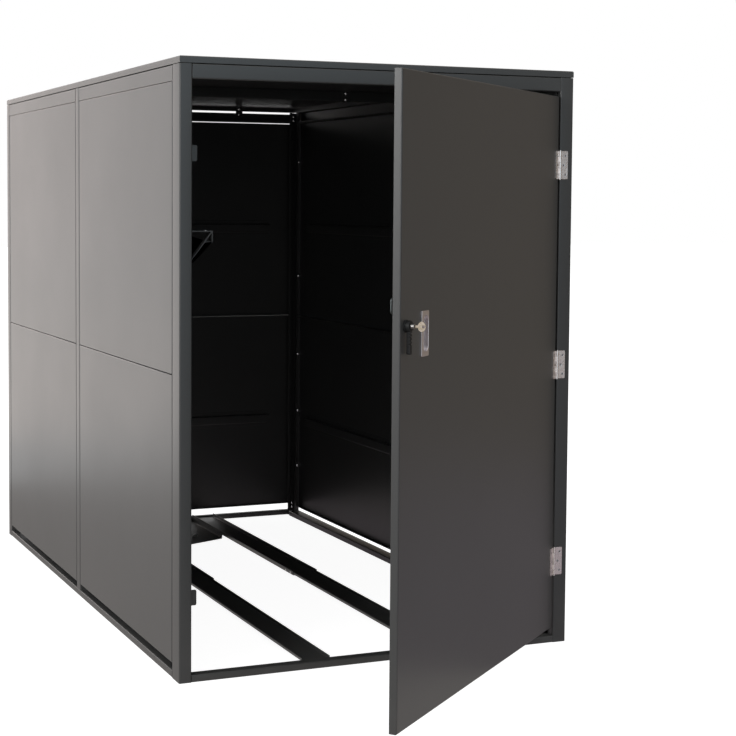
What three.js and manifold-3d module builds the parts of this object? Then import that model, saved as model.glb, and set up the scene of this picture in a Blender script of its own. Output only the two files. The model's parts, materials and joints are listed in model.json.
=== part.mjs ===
// A steel bicycle locker: a cabinet of folded-sheet posts, rails and tray panels, a flat tray roof,
// two wheel channels in the floor and one full-height door on three butt hinges.
// Millimetres, +Z up, X along the front from left to right, Y into the depth.
// The origin is the middle of the sill's underside. The door stands open as photographed.

import * as THREE from "three";
import { mergeVertices } from "three/addons/utils/BufferGeometryUtils.js";
import Module from "manifold-3d";

const wasm = await Module();
wasm.setup();

// Cabinet, outside.
const WIDTH = 1180;
const DEPTH = 2100;
const HEIGHT = 1650;

// Folded sheet, shared by every member.
const FRAME_SHEET = 1.5;
const PANEL_SHEET = 1.2;
const BEND_RADIUS = 2;
const WALL_DEPTH = 20;
const PANEL_FLANGE = 20;
const LIP = 8;
const BEND_STEPS = 2;
const ARC_STEPS = 8;

// Gaps.
const REAR_SEAM = 3;
const POST_SEAM = 2;
const PANEL_SEAM = 1;
const FIT_GAP = 0.3;
const OVERRUN = 5;
const WELD_SINK = 0.2;

// Posts: the width of each visible face.
const LOCK_POST_FACE = 35;
const HINGE_POST_FACE = 42;
const CORNER_SIDE_FACE = 62;
const REAR_POST_FACE = 28;
const REAR_SIDE_FACE = 45;
const REAR_PANEL_FLANGE = 12;
const MID_POST_FACE = 42;

// Roof and the rails below it.
const ROOF_EDGE = 18;
const ROOF_REVEAL = 1.5;
const REAR_SLIT = 8;
const SIDE_RAIL_HEIGHT = 42.5;
const LINTEL_HEIGHT = 39.5;
const UPSTAND_SETBACK = 5;
const CROSS_BEAM_WIDTH = 40;
const CROSS_BEAM_HEIGHT = 34.5;
const ROOF_CLIP_WIDTH = 28;
const ROOF_CLIP_HEIGHT = 36.5;
const ROOF_CLIP_LEG = 20;
const ROOF_CLIP_SHEET = 2;
const ROOF_CLIP_OFFSET = 334;

// Base and the slots that air the walls.
const BASE_HEIGHT = 20;
const SIDE_BASE_WIDTH = 44;
const SILL_DEPTH = 32;
const BASE_CORNER = 3;
const SIDE_VENT = 20;
const REAR_VENT = 27;

// Stiffener across the inside of each wall panel.
const RIB_HEIGHT = 60;
const RIB_FLANGE = 15;
const RIB_DEPTH = 13;
const RIB_DROP = 33;
const RIB_INSET = 90;

// Wheel channels and the plate that ties them at the rear.
const CHANNEL_OFFSET = 185;
const CHANNEL_WIDTH = 89;
const CHANNEL_RISE = 12;
const CHANNEL_REAR_HEIGHT = 14.5;
const CHANNEL_FRONT_HEIGHT = 9.5;
const CHANNEL_SHEET = 2;
const LAP_LENGTH = 80;
const TIE_LENGTH = 476;
const TIE_FLANGE = 18;
const TIE_RAKE = 117;

// Corner console inside the lock post.
const CONSOLE_STRIP = 3;
const CONSOLE_WIDTH = 20;
const CONSOLE_SETBACK = 36;
const CONSOLE_TOP_SHARE = 0.725;
const CONSOLE_HEIGHT = 134;
const CONSOLE_REACH = 102.5;
const CONSOLE_DROP = 28;
const CONSOLE_RETURN = 20;

// Door and its rest position.
const DOOR_OPEN_DEGREES = 40.2;
const DOOR_THICKNESS = 20;
const DOOR_BOTTOM = 45;
const DOOR_TOP_GAP = 14;
const DOOR_LIP = 15;
const LOCK_GAP = 5;
const HINGE_GAP = 3;
const DOOR_RIB_HEIGHT = 60;
const DOOR_RIB_FLANGE = 15;
const DOOR_RIB_DEPTH = 14;
const DOOR_RIB_SHARES = [0.2, 0.47, 0.8];

// Stops on the lock post that the closed door rests against.
const STOP_GAP = 0.6;
const STOP_SHEET = 2;
const STOP_HEIGHT = 42;
const STOP_REACH = 20;
const STOP_LEG = 15;
const STOP_CORNER = 4;
const STOP_SHARE = 0.384;

// Butt hinges.
const HINGE_SHARE = 0.373;
const HINGE_HEIGHT = 80;
const HINGE_LEAF = 27;
const HINGE_SHEET = 2;
const HINGE_CORNER = 3;
const KNUCKLE_RADIUS = 4;
const KNUCKLE_COUNT = 5;
const KNUCKLE_GAP = 0.4;
const KNUCKLE_WEB = 5;
const KNUCKLE_SIDES = 16;
const PIN_RADIUS = 2;
const PIN_BORE = 2.3;
const PIN_HEAD_RADIUS = 3.4;
const PIN_HEAD_HEIGHT = 1.6;
const SCREW_HOLE = 2.3;
const SCREW_SINK = 4.3;
const SCREW_SINK_DEPTH = 1.6;
const SCREW_SIDES = 12;
const OUTER_SCREW_INSET = 8;
const OUTER_SCREW_RISE = 27;
const MIDDLE_SCREW_INSET = 14;

// Recessed pull plate.
const PLATE_INSET = 137.5;
const PLATE_HEIGHT_ABOVE_FLOOR = 967;
const PLATE_WIDTH = 42;
const PLATE_LENGTH = 108;
const PLATE_THICKNESS = 3;
const PLATE_CORNER = 3;
const CUP_WIDTH = 28;
const CUP_LENGTH = 85;
const CUP_DEPTH = 11;
const CUP_OFFSET = 4;
const CUP_WALL = 1.2;
const CUP_CLEARANCE = 0.5;

// Lever, its base through the door and the latch hook behind it.
const LEVER_INSET = 28.5;
const LEVER_HEIGHT_ABOVE_FLOOR = 991;
const BASE_FLANGE_RADIUS = 15;
const BASE_FLANGE_THICKNESS = 4;
const BASE_CHAMFER = 1.5;
const BARREL_RADIUS = 11;
const BARREL_BORE = 6.2;
const BARREL_LENGTH = 12;
const BARREL_CLEARANCE = 0.4;
const NUT_ACROSS_FLATS = 30;
const NUT_THICKNESS = 5;
const HUB_RADIUS = 13.5;
const HUB_HEIGHT = 10;
const HUB_CHAMFER = 1.3;
const ARM_WIDTH = 10;
const ARM_LENGTH = 65;
const ARM_THICKNESS = 9.7;
const GROOVE_COUNT = 4;
const GROOVE_PITCH = 8.2;
const GROOVE_WIDTH = 4.6;
const GROOVE_DEPTH = 3;
const GROOVE_START = 17;
const PLUG_RADIUS = 7;
const PLUG_PROUD = 9;
const PLUG_SINK = 5;
const PLUG_CHAMFER = 0.8;
const SPINDLE_SIDE = 8;
const SPINDLE_HEAD_RADIUS = 7;
const SPINDLE_HEAD_HEIGHT = 2;
const HOOK_SETBACK = 24;
const HOOK_SHEET = 3;
const HOOK_HALF_WIDTH = 9;
const HOOK_TAIL = 11;
const HOOK_LENGTH = 64;
const HOOK_HEAD_HEIGHT = 36;
const HOOK_HEAD_REACH = 26;
const HOOK_CORNER = 6;

// Key.
const KEY_THICKNESS = 2.2;
const KEY_BLADE_HEIGHT = 7.5;
const KEY_BLADE_DEPTH = 11;
const KEY_TIP = 1.8;
const KEY_NECK_HEIGHT = 6;
const KEY_NECK_LENGTH = 7.5;
const KEY_BOW_LENGTH = 20;
const KEY_BOW_HEIGHT = 24;
const KEY_HOLE_RADIUS = 3.4;
const KEY_HOLE_OFFSET = 4;
const KEY_CUT_DEPTH = 1.8;
const KEY_CUT_WIDTH = 1.8;
const KEY_CUT_PITCH = 2.4;
const KEY_CUT_COUNT = 3;
const KEY_NECK_SINK = 1;

// Levels and lengths that follow from the sizes above.
const ROOF_BOTTOM = HEIGHT - ROOF_EDGE;
const CEILING = HEIGHT - FRAME_SHEET;
const FRAME_TOP = ROOF_BOTTOM - ROOF_REVEAL;
const RAIL_BOTTOM = FRAME_TOP - SIDE_RAIL_HEIGHT;
const UPSTAND = CEILING - FRAME_TOP;
const FRONT_BAY = (DEPTH - MID_POST_FACE) / 2 - CORNER_SIDE_FACE;
const REAR_BAY = (DEPTH - MID_POST_FACE) / 2 - REAR_SIDE_FACE;
const DOOR_WIDTH = WIDTH - LOCK_POST_FACE - HINGE_POST_FACE - LOCK_GAP - HINGE_GAP;
const DOOR_HEIGHT = FRAME_TOP - LINTEL_HEIGHT - DOOR_TOP_GAP - DOOR_BOTTOM;
const DOOR_MIDDLE = DOOR_BOTTOM + DOOR_HEIGHT / 2;
const REVEAL = DOOR_THICKNESS + STOP_GAP;
const AXIS_PROUD = KNUCKLE_RADIUS;
const FREE_EDGE = HINGE_GAP / 2 + DOOR_WIDTH;

const LEFT = -1;
const RIGHT = 1;

const FINISHES = {
  powderCoat: { color: 0x3a3d40, roughness: 0.5, metalness: 0.3 },
  zincedSteel: { color: 0x8d8f90, roughness: 0.45, metalness: 0.85 },
  stainless: { color: 0xb8b3ae, roughness: 0.35, metalness: 0.9 },
  chrome: { color: 0xd9d9d9, roughness: 0.12, metalness: 1 },
  nickelBrass: { color: 0xb7a982, roughness: 0.3, metalness: 1 },
  blackMoulding: { color: 0x101112, roughness: 0.55, metalness: 0 },
};

function part(name, geometry, finish, place = [0, 0, 0]) {
  const mesh = new THREE.Mesh(geometry, new THREE.MeshStandardMaterial(FINISHES[finish]));
  mesh.name = name;
  mesh.position.set(...place);
  return mesh;
}

// Solids for joining and cutting.

function solid(geometry) {
  const flat = geometry.index ? geometry.toNonIndexed() : geometry;
  const bare = new THREE.BufferGeometry();
  bare.setAttribute("position", flat.getAttribute("position"));
  const merged = mergeVertices(bare);
  const mesh = new wasm.Mesh({
    numProp: 3,
    vertProperties: merged.attributes.position.array,
    triVerts: new Uint32Array(merged.index.array),
  });
  return new wasm.Manifold(mesh);
}

function surface(manifold) {
  const mesh = manifold.getMesh();
  const geometry = new THREE.BufferGeometry();
  const corners = new Float32Array(mesh.vertProperties);
  geometry.setAttribute("position", new THREE.BufferAttribute(corners, 3));
  geometry.setIndex(new THREE.BufferAttribute(new Uint32Array(mesh.triVerts), 1));
  return geometry;
}

function joined(...geometries) {
  return surface(geometries.map(solid).reduce((all, one) => all.add(one)));
}

function cut(geometry, ...cutters) {
  return surface(cutters.map(solid).reduce((rest, one) => rest.subtract(one), solid(geometry)));
}

function common(...geometries) {
  return surface(geometries.map(solid).reduce((all, one) => all.intersect(one)));
}

function box(low, high) {
  const size = high.map((value, i) => value - low[i]);
  const geometry = new THREE.BoxGeometry(...size);
  return geometry.translate(...low.map((value, i) => value + size[i] / 2));
}

// Profiles. A section is drawn in two dimensions and drawn out along one axis:
// along z it lies in (x, y), along y in (x, z), and along x in (y, z).

const ACROSS = new THREE.Matrix4().makeBasis(
  new THREE.Vector3(0, 1, 0),
  new THREE.Vector3(0, 0, 1),
  new THREE.Vector3(1, 0, 0),
);

function prism(shape, length, axis, start = 0) {
  const options = { depth: length, bevelEnabled: false, curveSegments: ARC_STEPS };
  const geometry = new THREE.ExtrudeGeometry(shape, options);
  if (axis === "x") return geometry.applyMatrix4(ACROSS).translate(start, 0, 0);
  if (axis === "y") return geometry.rotateX(Math.PI / 2).translate(0, start + length, 0);
  return geometry.translate(0, 0, start);
}

// A closed profile of [radius, y] points, outer side rising, turned about the y axis.
function revolved(profile, sides) {
  return new THREE.LatheGeometry(profile.map(([r, y]) => new THREE.Vector2(r, y)), sides);
}

function direction(from, to) {
  return to.clone().sub(from).normalize();
}

function arcAt(before, corner, after, radius) {
  const into = direction(before, corner);
  const away = direction(corner, after);
  const turn = Math.atan2(into.cross(away), into.dot(away));
  const start = corner.clone().addScaledVector(into, -radius * Math.tan(Math.abs(turn) / 2));
  const inward = new THREE.Vector2(-into.y, into.x).multiplyScalar(Math.sign(turn) * radius);
  const centre = start.clone().add(inward);
  const steps = Array.from({ length: BEND_STEPS + 1 }, (_, k) => (turn * k) / BEND_STEPS);
  return steps.map((angle) => start.clone().rotateAround(centre, angle));
}

// The corners of an open line rounded, with the wider radius on the outside of each bend.
function bentLine(points, rightTurnRadius, leftTurnRadius) {
  const inner = points.slice(1, -1).flatMap((corner, i) => {
    const before = points[i];
    const after = points[i + 2];
    const turn = direction(before, corner).cross(direction(corner, after));
    return arcAt(before, corner, after, turn < 0 ? rightTurnRadius : leftTurnRadius);
  });
  return [points[0], ...inner, points.at(-1)];
}

function offsetRight(points, distance) {
  return points.map((point, i) => {
    const into = i > 0 ? direction(points[i - 1], point) : direction(point, points[i + 1]);
    const away = i < points.length - 1 ? direction(point, points[i + 1]) : into;
    const before = new THREE.Vector2(into.y, -into.x);
    const after = new THREE.Vector2(away.y, -away.x);
    const scale = distance / (1 + before.dot(after));
    return point.clone().addScaledVector(before.add(after), scale);
  });
}

// The section of one folded sheet that lies to the right of a line of [u, v] corners.
function foldedSheet(corners, sheet) {
  const line = corners.map(([u, v]) => new THREE.Vector2(u, v));
  const near = bentLine(line, BEND_RADIUS + sheet, BEND_RADIUS);
  const far = bentLine(offsetRight(line, sheet), BEND_RADIUS, BEND_RADIUS + sheet);
  return new THREE.Shape([...near, ...far.reverse()]);
}

// Mirrors a line in u or v and keeps the sheet on its right.
function handed(corners, u, v = 1) {
  const turned = corners.map(([a, b]) => [a * u, b * v]);
  return u * v < 0 ? turned.reverse() : turned;
}

function roundedOutline(corners, radius) {
  const points = corners.map(([u, v]) => new THREE.Vector2(u, v));
  return points.flatMap((corner, i) => {
    const before = points.at(i - 1);
    const after = points[(i + 1) % points.length];
    return arcAt(before, corner, after, radius);
  });
}

function rectangle(low, high) {
  return [[low[0], low[1]], [high[0], low[1]], [high[0], high[1]], [low[0], high[1]]];
}

function roundedRectangle(low, high, radius) {
  return new THREE.Shape(roundedOutline(rectangle(low, high), radius));
}

// A rectangular tube with its lower corner at the section's origin.
function tube(width, height, sheet, radius) {
  const outer = roundedRectangle([0, 0], [width, height], radius);
  const inside = [sheet, sheet];
  const far = [width - sheet, height - sheet];
  outer.holes.push(new THREE.Path(roundedOutline(rectangle(inside, far), radius - sheet)));
  return outer;
}

// A channel open to the inside, with a stiffening lip along each edge.
function lippedChannel(height) {
  return [
    [WALL_DEPTH, LIP],
    [WALL_DEPTH, 0],
    [0, 0],
    [0, height],
    [WALL_DEPTH, height],
    [WALL_DEPTH, height - LIP],
  ];
}

// The same with an upstand in place of the upper lip, which closes the gap below the roof.
function curbedChannel(height) {
  const inner = WALL_DEPTH - FRAME_SHEET;
  return [...lippedChannel(height).slice(0, 4), [inner, height], [inner, height + UPSTAND]];
}

// A top-hat rib lying on a sheet's inner face at u, its first flange starting at v = 0.
function hatRib(u, height, flange, depth) {
  return [
    [u, 0],
    [u, flange],
    [u + depth, flange],
    [u + depth, height - flange],
    [u, height - flange],
    [u, height],
  ];
}

// Trays: the face lies at x = 0 and the returns run to +x.

function frontRounded(depth, width, radius) {
  const [a, b, c, d] = rectangle([0, 0], [depth, width]).map(([u, v]) => new THREE.Vector2(u, v));
  return new THREE.Shape([b, c, ...arcAt(c, d, a, radius), ...arcAt(d, a, b, radius)]);
}

function softBlock(depth, width, height, radius) {
  return common(
    prism(frontRounded(depth, width, radius), height, "z"),
    prism(frontRounded(depth, height, radius), width, "y"),
  );
}

function tray(depth, width, height, sheet) {
  const pocket = softBlock(depth + OVERRUN, width - 2 * sheet, height - 2 * sheet, BEND_RADIUS);
  pocket.translate(sheet, sheet, sheet);
  return cut(softBlock(depth, width, height, BEND_RADIUS + sheet), pocket);
}

function wallPanel(width, height) {
  const corners = hatRib(PANEL_SHEET - WELD_SINK, RIB_HEIGHT, RIB_FLANGE, RIB_DEPTH);
  const rib = prism(foldedSheet(corners, PANEL_SHEET), width - 2 * RIB_INSET, "y", RIB_INSET);
  rib.translate(0, 0, height / 2 - RIB_DROP - RIB_HEIGHT / 2);
  return joined(tray(WALL_DEPTH, width, height, PANEL_SHEET), rib);
}

// Posts.

function frontPost(name, side, face) {
  const corners = [
    [face - LIP, REVEAL],
    [face, REVEAL],
    [face, 0],
    [0, 0],
    [0, CORNER_SIDE_FACE],
    [WALL_DEPTH, CORNER_SIDE_FACE],
    [WALL_DEPTH, CORNER_SIDE_FACE + PANEL_FLANGE],
  ];
  const section = foldedSheet(handed(corners, -side), FRAME_SHEET);
  const notch = baseNotch(side, 1, CORNER_SIDE_FACE);
  const geometry = cut(prism(section, FRAME_TOP, "z"), notch);
  return part(name, geometry, "powderCoat", [(side * WIDTH) / 2, 0, 0]);
}

function rearPost(name, side) {
  const corners = [
    [REAR_POST_FACE + REAR_PANEL_FLANGE, WALL_DEPTH],
    [REAR_POST_FACE, WALL_DEPTH],
    [REAR_POST_FACE, 0],
    [0, 0],
    [0, REAR_SIDE_FACE],
    [WALL_DEPTH, REAR_SIDE_FACE],
    [WALL_DEPTH, REAR_SIDE_FACE + PANEL_FLANGE],
  ];
  const section = foldedSheet(handed(corners, -side, -1), FRAME_SHEET);
  const notch = baseNotch(side, -1, REAR_SIDE_FACE);
  const geometry = cut(prism(section, FRAME_TOP, "z"), notch);
  return part(name, geometry, "powderCoat", [(side * WIDTH) / 2, DEPTH, 0]);
}

// The space at a corner post's foot that the side base rail runs into.
function baseNotch(side, inward, face) {
  const along = [face, face + PANEL_FLANGE + OVERRUN].map((y) => y * inward);
  const across = [0, SIDE_BASE_WIDTH].map((x) => -side * x);
  return box(
    [Math.min(...across), Math.min(...along), -OVERRUN],
    [Math.max(...across), Math.max(...along), BASE_HEIGHT],
  );
}

function midPost(name, side) {
  const half = MID_POST_FACE / 2;
  const corners = [
    [WALL_DEPTH, -half - PANEL_FLANGE],
    [WALL_DEPTH, -half],
    [0, -half],
    [0, half],
    [WALL_DEPTH, half],
    [WALL_DEPTH, half + PANEL_FLANGE],
  ];
  const section = foldedSheet(handed(corners, -side), FRAME_SHEET);
  const geometry = prism(section, RAIL_BOTTOM - BASE_HEIGHT, "z");
  return part(name, geometry, "powderCoat", [(side * WIDTH) / 2, DEPTH / 2, BASE_HEIGHT]);
}

// Rails.

// A box between two corners given in any order.
function spanning(a, b) {
  const low = a.map((value, i) => Math.min(value, b[i]));
  const high = a.map((value, i) => Math.max(value, b[i]));
  return box(low, high);
}

// The upstand runs on over the posts. Below it the ends clear the inside of the posts' folds.
function sideTopRail(name, side) {
  const section = foldedSheet(handed(curbedChannel(SIDE_RAIL_HEIGHT), -side), FRAME_SHEET);
  const start = CORNER_SIDE_FACE;
  const end = DEPTH - REAR_SIDE_FACE;
  const inner = [WALL_DEPTH - FRAME_SHEET, WALL_DEPTH].map((u) => -side * u);
  const upstand = spanning(
    [inner[0], UPSTAND_SETBACK, SIDE_RAIL_HEIGHT],
    [inner[1], DEPTH - UPSTAND_SETBACK, SIDE_RAIL_HEIGHT + UPSTAND],
  );
  const relief = BEND_RADIUS + FIT_GAP;
  const corner = [WALL_DEPTH - relief, WALL_DEPTH + OVERRUN].map((u) => -side * u);
  const notches = [
    [start - OVERRUN, start + relief],
    [end - relief, end + OVERRUN],
  ].map(([a, b]) => spanning([corner[0], a, -OVERRUN], [corner[1], b, SIDE_RAIL_HEIGHT]));
  const rail = cut(prism(section, end - start, "y", start), ...notches);
  const place = [(side * WIDTH) / 2, 0, RAIL_BOTTOM];
  return part(name, joined(rail, upstand), "powderCoat", place);
}

function lintel() {
  const section = foldedSheet(curbedChannel(LINTEL_HEIGHT), FRAME_SHEET);
  const start = LOCK_POST_FACE - WIDTH / 2;
  const rail = prism(section, WIDTH - LOCK_POST_FACE - HINGE_POST_FACE, "x", start);
  const half = WIDTH / 2 - WALL_DEPTH;
  const upstand = box(
    [-half, WALL_DEPTH - FRAME_SHEET, LINTEL_HEIGHT],
    [half, WALL_DEPTH, LINTEL_HEIGHT + UPSTAND],
  );
  const place = [0, 0, FRAME_TOP - LINTEL_HEIGHT];
  return part("front_lintel", joined(rail, upstand), "powderCoat", place);
}

function rearTopRail() {
  const height = ROOF_BOTTOM - REAR_SLIT - RAIL_BOTTOM;
  const section = foldedSheet(handed(lippedChannel(height), -1), FRAME_SHEET);
  const half = WIDTH / 2 - REAR_POST_FACE - POST_SEAM;
  const geometry = prism(section, 2 * half, "x", -half);
  return part("rear_top_rail", geometry, "powderCoat", [0, DEPTH, RAIL_BOTTOM]);
}

function sill() {
  const section = tube(SILL_DEPTH, BASE_HEIGHT, FRAME_SHEET, BASE_CORNER);
  const geometry = prism(section, WIDTH - LOCK_POST_FACE - HINGE_POST_FACE, "x");
  return part("front_sill", geometry, "powderCoat", [LOCK_POST_FACE - WIDTH / 2, 0, 0]);
}

function sideBaseRail(name, side) {
  const section = tube(SIDE_BASE_WIDTH, BASE_HEIGHT, FRAME_SHEET, BASE_CORNER);
  const geometry = prism(section, DEPTH - CORNER_SIDE_FACE - REAR_SIDE_FACE, "y");
  const x = side === LEFT ? -WIDTH / 2 : WIDTH / 2 - SIDE_BASE_WIDTH;
  return part(name, geometry, "powderCoat", [x, CORNER_SIDE_FACE, 0]);
}

function rearBaseRail() {
  const section = tube(WALL_DEPTH, BASE_HEIGHT, FRAME_SHEET, BASE_CORNER);
  const half = WIDTH / 2 - REAR_POST_FACE - POST_SEAM;
  const geometry = prism(section, 2 * half, "x", -half);
  return part("rear_bottom_rail", geometry, "powderCoat", [0, DEPTH - WALL_DEPTH, 0]);
}

// Walls: two bays of two panels on each side, and two panels across the rear.

function panelLevels(bottom, top) {
  const height = (top - bottom - PANEL_SEAM) / 2;
  return { height, lower: bottom, upper: bottom + height + PANEL_SEAM };
}

function sidePanels(sideName, side) {
  const levels = panelLevels(BASE_HEIGHT + SIDE_VENT, RAIL_BOTTOM);
  const bays = {
    front: [CORNER_SIDE_FACE, FRONT_BAY],
    rear: [(DEPTH + MID_POST_FACE) / 2, REAR_BAY],
  };
  return Object.entries(bays).flatMap(([bay, [start, length]]) =>
    ["upper", "lower"].map((level) => {
      const width = length - 2 * POST_SEAM;
      const near = start + POST_SEAM;
      const y = side === LEFT ? near : near + width;
      const place = [(side * WIDTH) / 2, y, levels[level]];
      const name = `${sideName}_${bay}_${level}_panel`;
      const mesh = part(name, wallPanel(width, levels.height), "powderCoat", place);
      mesh.rotation.z = side === LEFT ? 0 : Math.PI;
      return mesh;
    }),
  );
}

function rearPanels() {
  const width = WIDTH - 2 * (REAR_POST_FACE + POST_SEAM);
  const levels = panelLevels(BASE_HEIGHT + REAR_VENT, RAIL_BOTTOM - REAR_SEAM);
  return ["upper", "lower"].map((level) => {
    const place = [-width / 2, DEPTH, levels[level]];
    const mesh = part(`rear_${level}_panel`, wallPanel(width, levels.height), "powderCoat", place);
    mesh.rotation.z = -Math.PI / 2;
    return mesh;
  });
}

// Roof.

function roofTray() {
  const geometry = tray(ROOF_EDGE, DEPTH, WIDTH, FRAME_SHEET);
  const mesh = part("roof_tray", geometry, "powderCoat", [-WIDTH / 2, 0, HEIGHT]);
  mesh.rotation.y = Math.PI / 2;
  return mesh;
}

function crossBeam() {
  const section = tube(CROSS_BEAM_WIDTH, CROSS_BEAM_HEIGHT, FRAME_SHEET, BASE_CORNER);
  const geometry = prism(section, WIDTH - 2 * WALL_DEPTH, "x");
  const y = (DEPTH - CROSS_BEAM_WIDTH) / 2;
  const place = [WALL_DEPTH - WIDTH / 2, y, CEILING - CROSS_BEAM_HEIGHT];
  return part("roof_cross_beam", geometry, "powderCoat", place);
}

function roofClip(name, x, y, facing) {
  const corners = [
    [0, 0],
    [0, ROOF_CLIP_HEIGHT],
    [ROOF_CLIP_LEG, ROOF_CLIP_HEIGHT],
  ];
  const section = foldedSheet(handed(corners, facing), ROOF_CLIP_SHEET);
  const geometry = prism(section, ROOF_CLIP_WIDTH, "x");
  return part(name, geometry, "powderCoat", [x - ROOF_CLIP_WIDTH / 2, y, CEILING - ROOF_CLIP_HEIGHT]);
}

function roofClips() {
  const rows = {
    front: [WALL_DEPTH, 1],
    middle: [(DEPTH - CROSS_BEAM_WIDTH) / 2, -1],
    rear: [DEPTH - WALL_DEPTH, -1],
  };
  return Object.entries(rows).flatMap(([row, [y, facing]]) => [
    roofClip(`${row}_left_roof_clip`, -ROOF_CLIP_OFFSET, y, facing),
    roofClip(`${row}_right_roof_clip`, ROOF_CLIP_OFFSET, y, facing),
  ]);
}

// Floor: each wheel channel is a rear half with the front half nested in it.

function channelHalf(name, x, z, width, height, from, to) {
  const corners = [
    [width / 2, height],
    [width / 2, 0],
    [-width / 2, 0],
    [-width / 2, height],
  ];
  const geometry = prism(foldedSheet(corners, CHANNEL_SHEET), to - from, "y");
  return part(name, geometry, "powderCoat", [x, from, z]);
}

function wheelChannel(sideName, side) {
  const x = side * CHANNEL_OFFSET;
  const nested = CHANNEL_WIDTH - 2 * (CHANNEL_SHEET + FIT_GAP);
  const low = CHANNEL_RISE + CHANNEL_SHEET;
  const lapStart = (DEPTH - LAP_LENGTH) / 2;
  const front = [nested, CHANNEL_FRONT_HEIGHT, SILL_DEPTH, lapStart + LAP_LENGTH];
  const rear = [CHANNEL_WIDTH, CHANNEL_REAR_HEIGHT, lapStart, DEPTH - WALL_DEPTH];
  return [
    channelHalf(`${sideName}_wheel_channel_front`, x, low, ...front),
    channelHalf(`${sideName}_wheel_channel_rear`, x, CHANNEL_RISE, ...rear),
  ];
}

function channelTie() {
  const width = 2 * CHANNEL_OFFSET - CHANNEL_WIDTH;
  const corners = [
    [width / 2, TIE_FLANGE],
    [width / 2, 0],
    [-width / 2, 0],
    [-width / 2, TIE_FLANGE],
  ];
  const plate = prism(foldedSheet(corners, CHANNEL_SHEET), TIE_LENGTH, "y");
  const slope = TIE_RAKE / width;
  const wedge = new THREE.Shape([
    new THREE.Vector2(-width / 2 - OVERRUN, -OVERRUN * slope),
    new THREE.Vector2(-width / 2 - OVERRUN, -OVERRUN),
    new THREE.Vector2(width / 2 + OVERRUN, -OVERRUN),
    new THREE.Vector2(width / 2 + OVERRUN, TIE_RAKE + OVERRUN * slope),
  ]);
  const rake = prism(wedge, TIE_FLANGE + 2 * OVERRUN, "z", -OVERRUN);
  const front = DEPTH - WALL_DEPTH - TIE_LENGTH;
  return part("wheel_channel_tie", cut(plate, rake), "powderCoat", [0, front, 0]);
}

// Fittings inside the lock post.

function doorStop(name, z) {
  const reach = LIP + STOP_REACH;
  const corners = [
    [reach, 0],
    [0, 0],
    [0, STOP_LEG],
  ];
  const angle = prism(foldedSheet(corners, STOP_SHEET), STOP_HEIGHT, "z");
  const outline = roundedRectangle([-reach, 0], [reach, STOP_HEIGHT], STOP_CORNER);
  const blank = prism(outline, STOP_LEG + OVERRUN, "y");
  const place = [LOCK_POST_FACE - LIP - WIDTH / 2, REVEAL, z - STOP_HEIGHT / 2];
  return part(name, common(angle, blank), "powderCoat", place);
}

function strip(from, to) {
  const start = new THREE.Vector2(...from);
  const end = new THREE.Vector2(...to);
  const along = direction(start, end).multiplyScalar(CONSOLE_STRIP / 2);
  const aside = new THREE.Vector2(-along.y, along.x);
  start.sub(along);
  end.add(along);
  const corners = [
    start.clone().sub(aside),
    end.clone().sub(aside),
    end.clone().add(aside),
    start.clone().add(aside),
  ];
  return prism(new THREE.Shape(corners), CONSOLE_WIDTH, "y");
}

function cornerConsole() {
  const root = CONSOLE_STRIP / 2;
  const tip = CONSOLE_REACH - root;
  const top = CONSOLE_HEIGHT - root;
  const slope = (top - root) / (tip - root);
  const drop = top - CONSOLE_DROP;
  const brace = Math.max(tip - CONSOLE_RETURN, tip - CONSOLE_DROP / slope);
  const strips = joined(
    strip([root, root], [root, top]),
    strip([root, top], [tip, top]),
    strip([tip, top], [tip, drop]),
    strip([tip, drop], [brace, drop]),
    strip([tip, top], [root, root]),
  );
  const limits = box([0, 0, 0], [CONSOLE_REACH, CONSOLE_WIDTH, CONSOLE_HEIGHT]);
  const geometry = common(strips, limits);
  const place = [FRAME_SHEET - WIDTH / 2, CONSOLE_SETBACK, CONSOLE_TOP_SHARE * HEIGHT - CONSOLE_HEIGHT];
  return part("corner_console", geometry, "powderCoat", place);
}

// Hinges. Each leaf is drawn about the pin, its plate running to +x for the frame side.

function screwSink(x, z, back) {
  const sink = back - HINGE_SHEET;
  const profile = [
    [0, sink - OVERRUN],
    [SCREW_SINK, sink - OVERRUN],
    [SCREW_SINK, sink],
    [SCREW_HOLE, sink + SCREW_SINK_DEPTH],
    [SCREW_HOLE, back + OVERRUN],
    [0, back + OVERRUN],
  ];
  return revolved(profile, SCREW_SIDES).translate(x, 0, z);
}

function knuckle(index) {
  const pitch = HINGE_HEIGHT / KNUCKLE_COUNT;
  const low = index * pitch - HINGE_HEIGHT / 2 + KNUCKLE_GAP / 2;
  const high = low + pitch - KNUCKLE_GAP;
  const profile = [
    [0, low],
    [KNUCKLE_RADIUS, low],
    [KNUCKLE_RADIUS, high],
    [0, high],
  ];
  return { low, high, barrel: revolved(profile, KNUCKLE_SIDES).rotateX(Math.PI / 2) };
}

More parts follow.
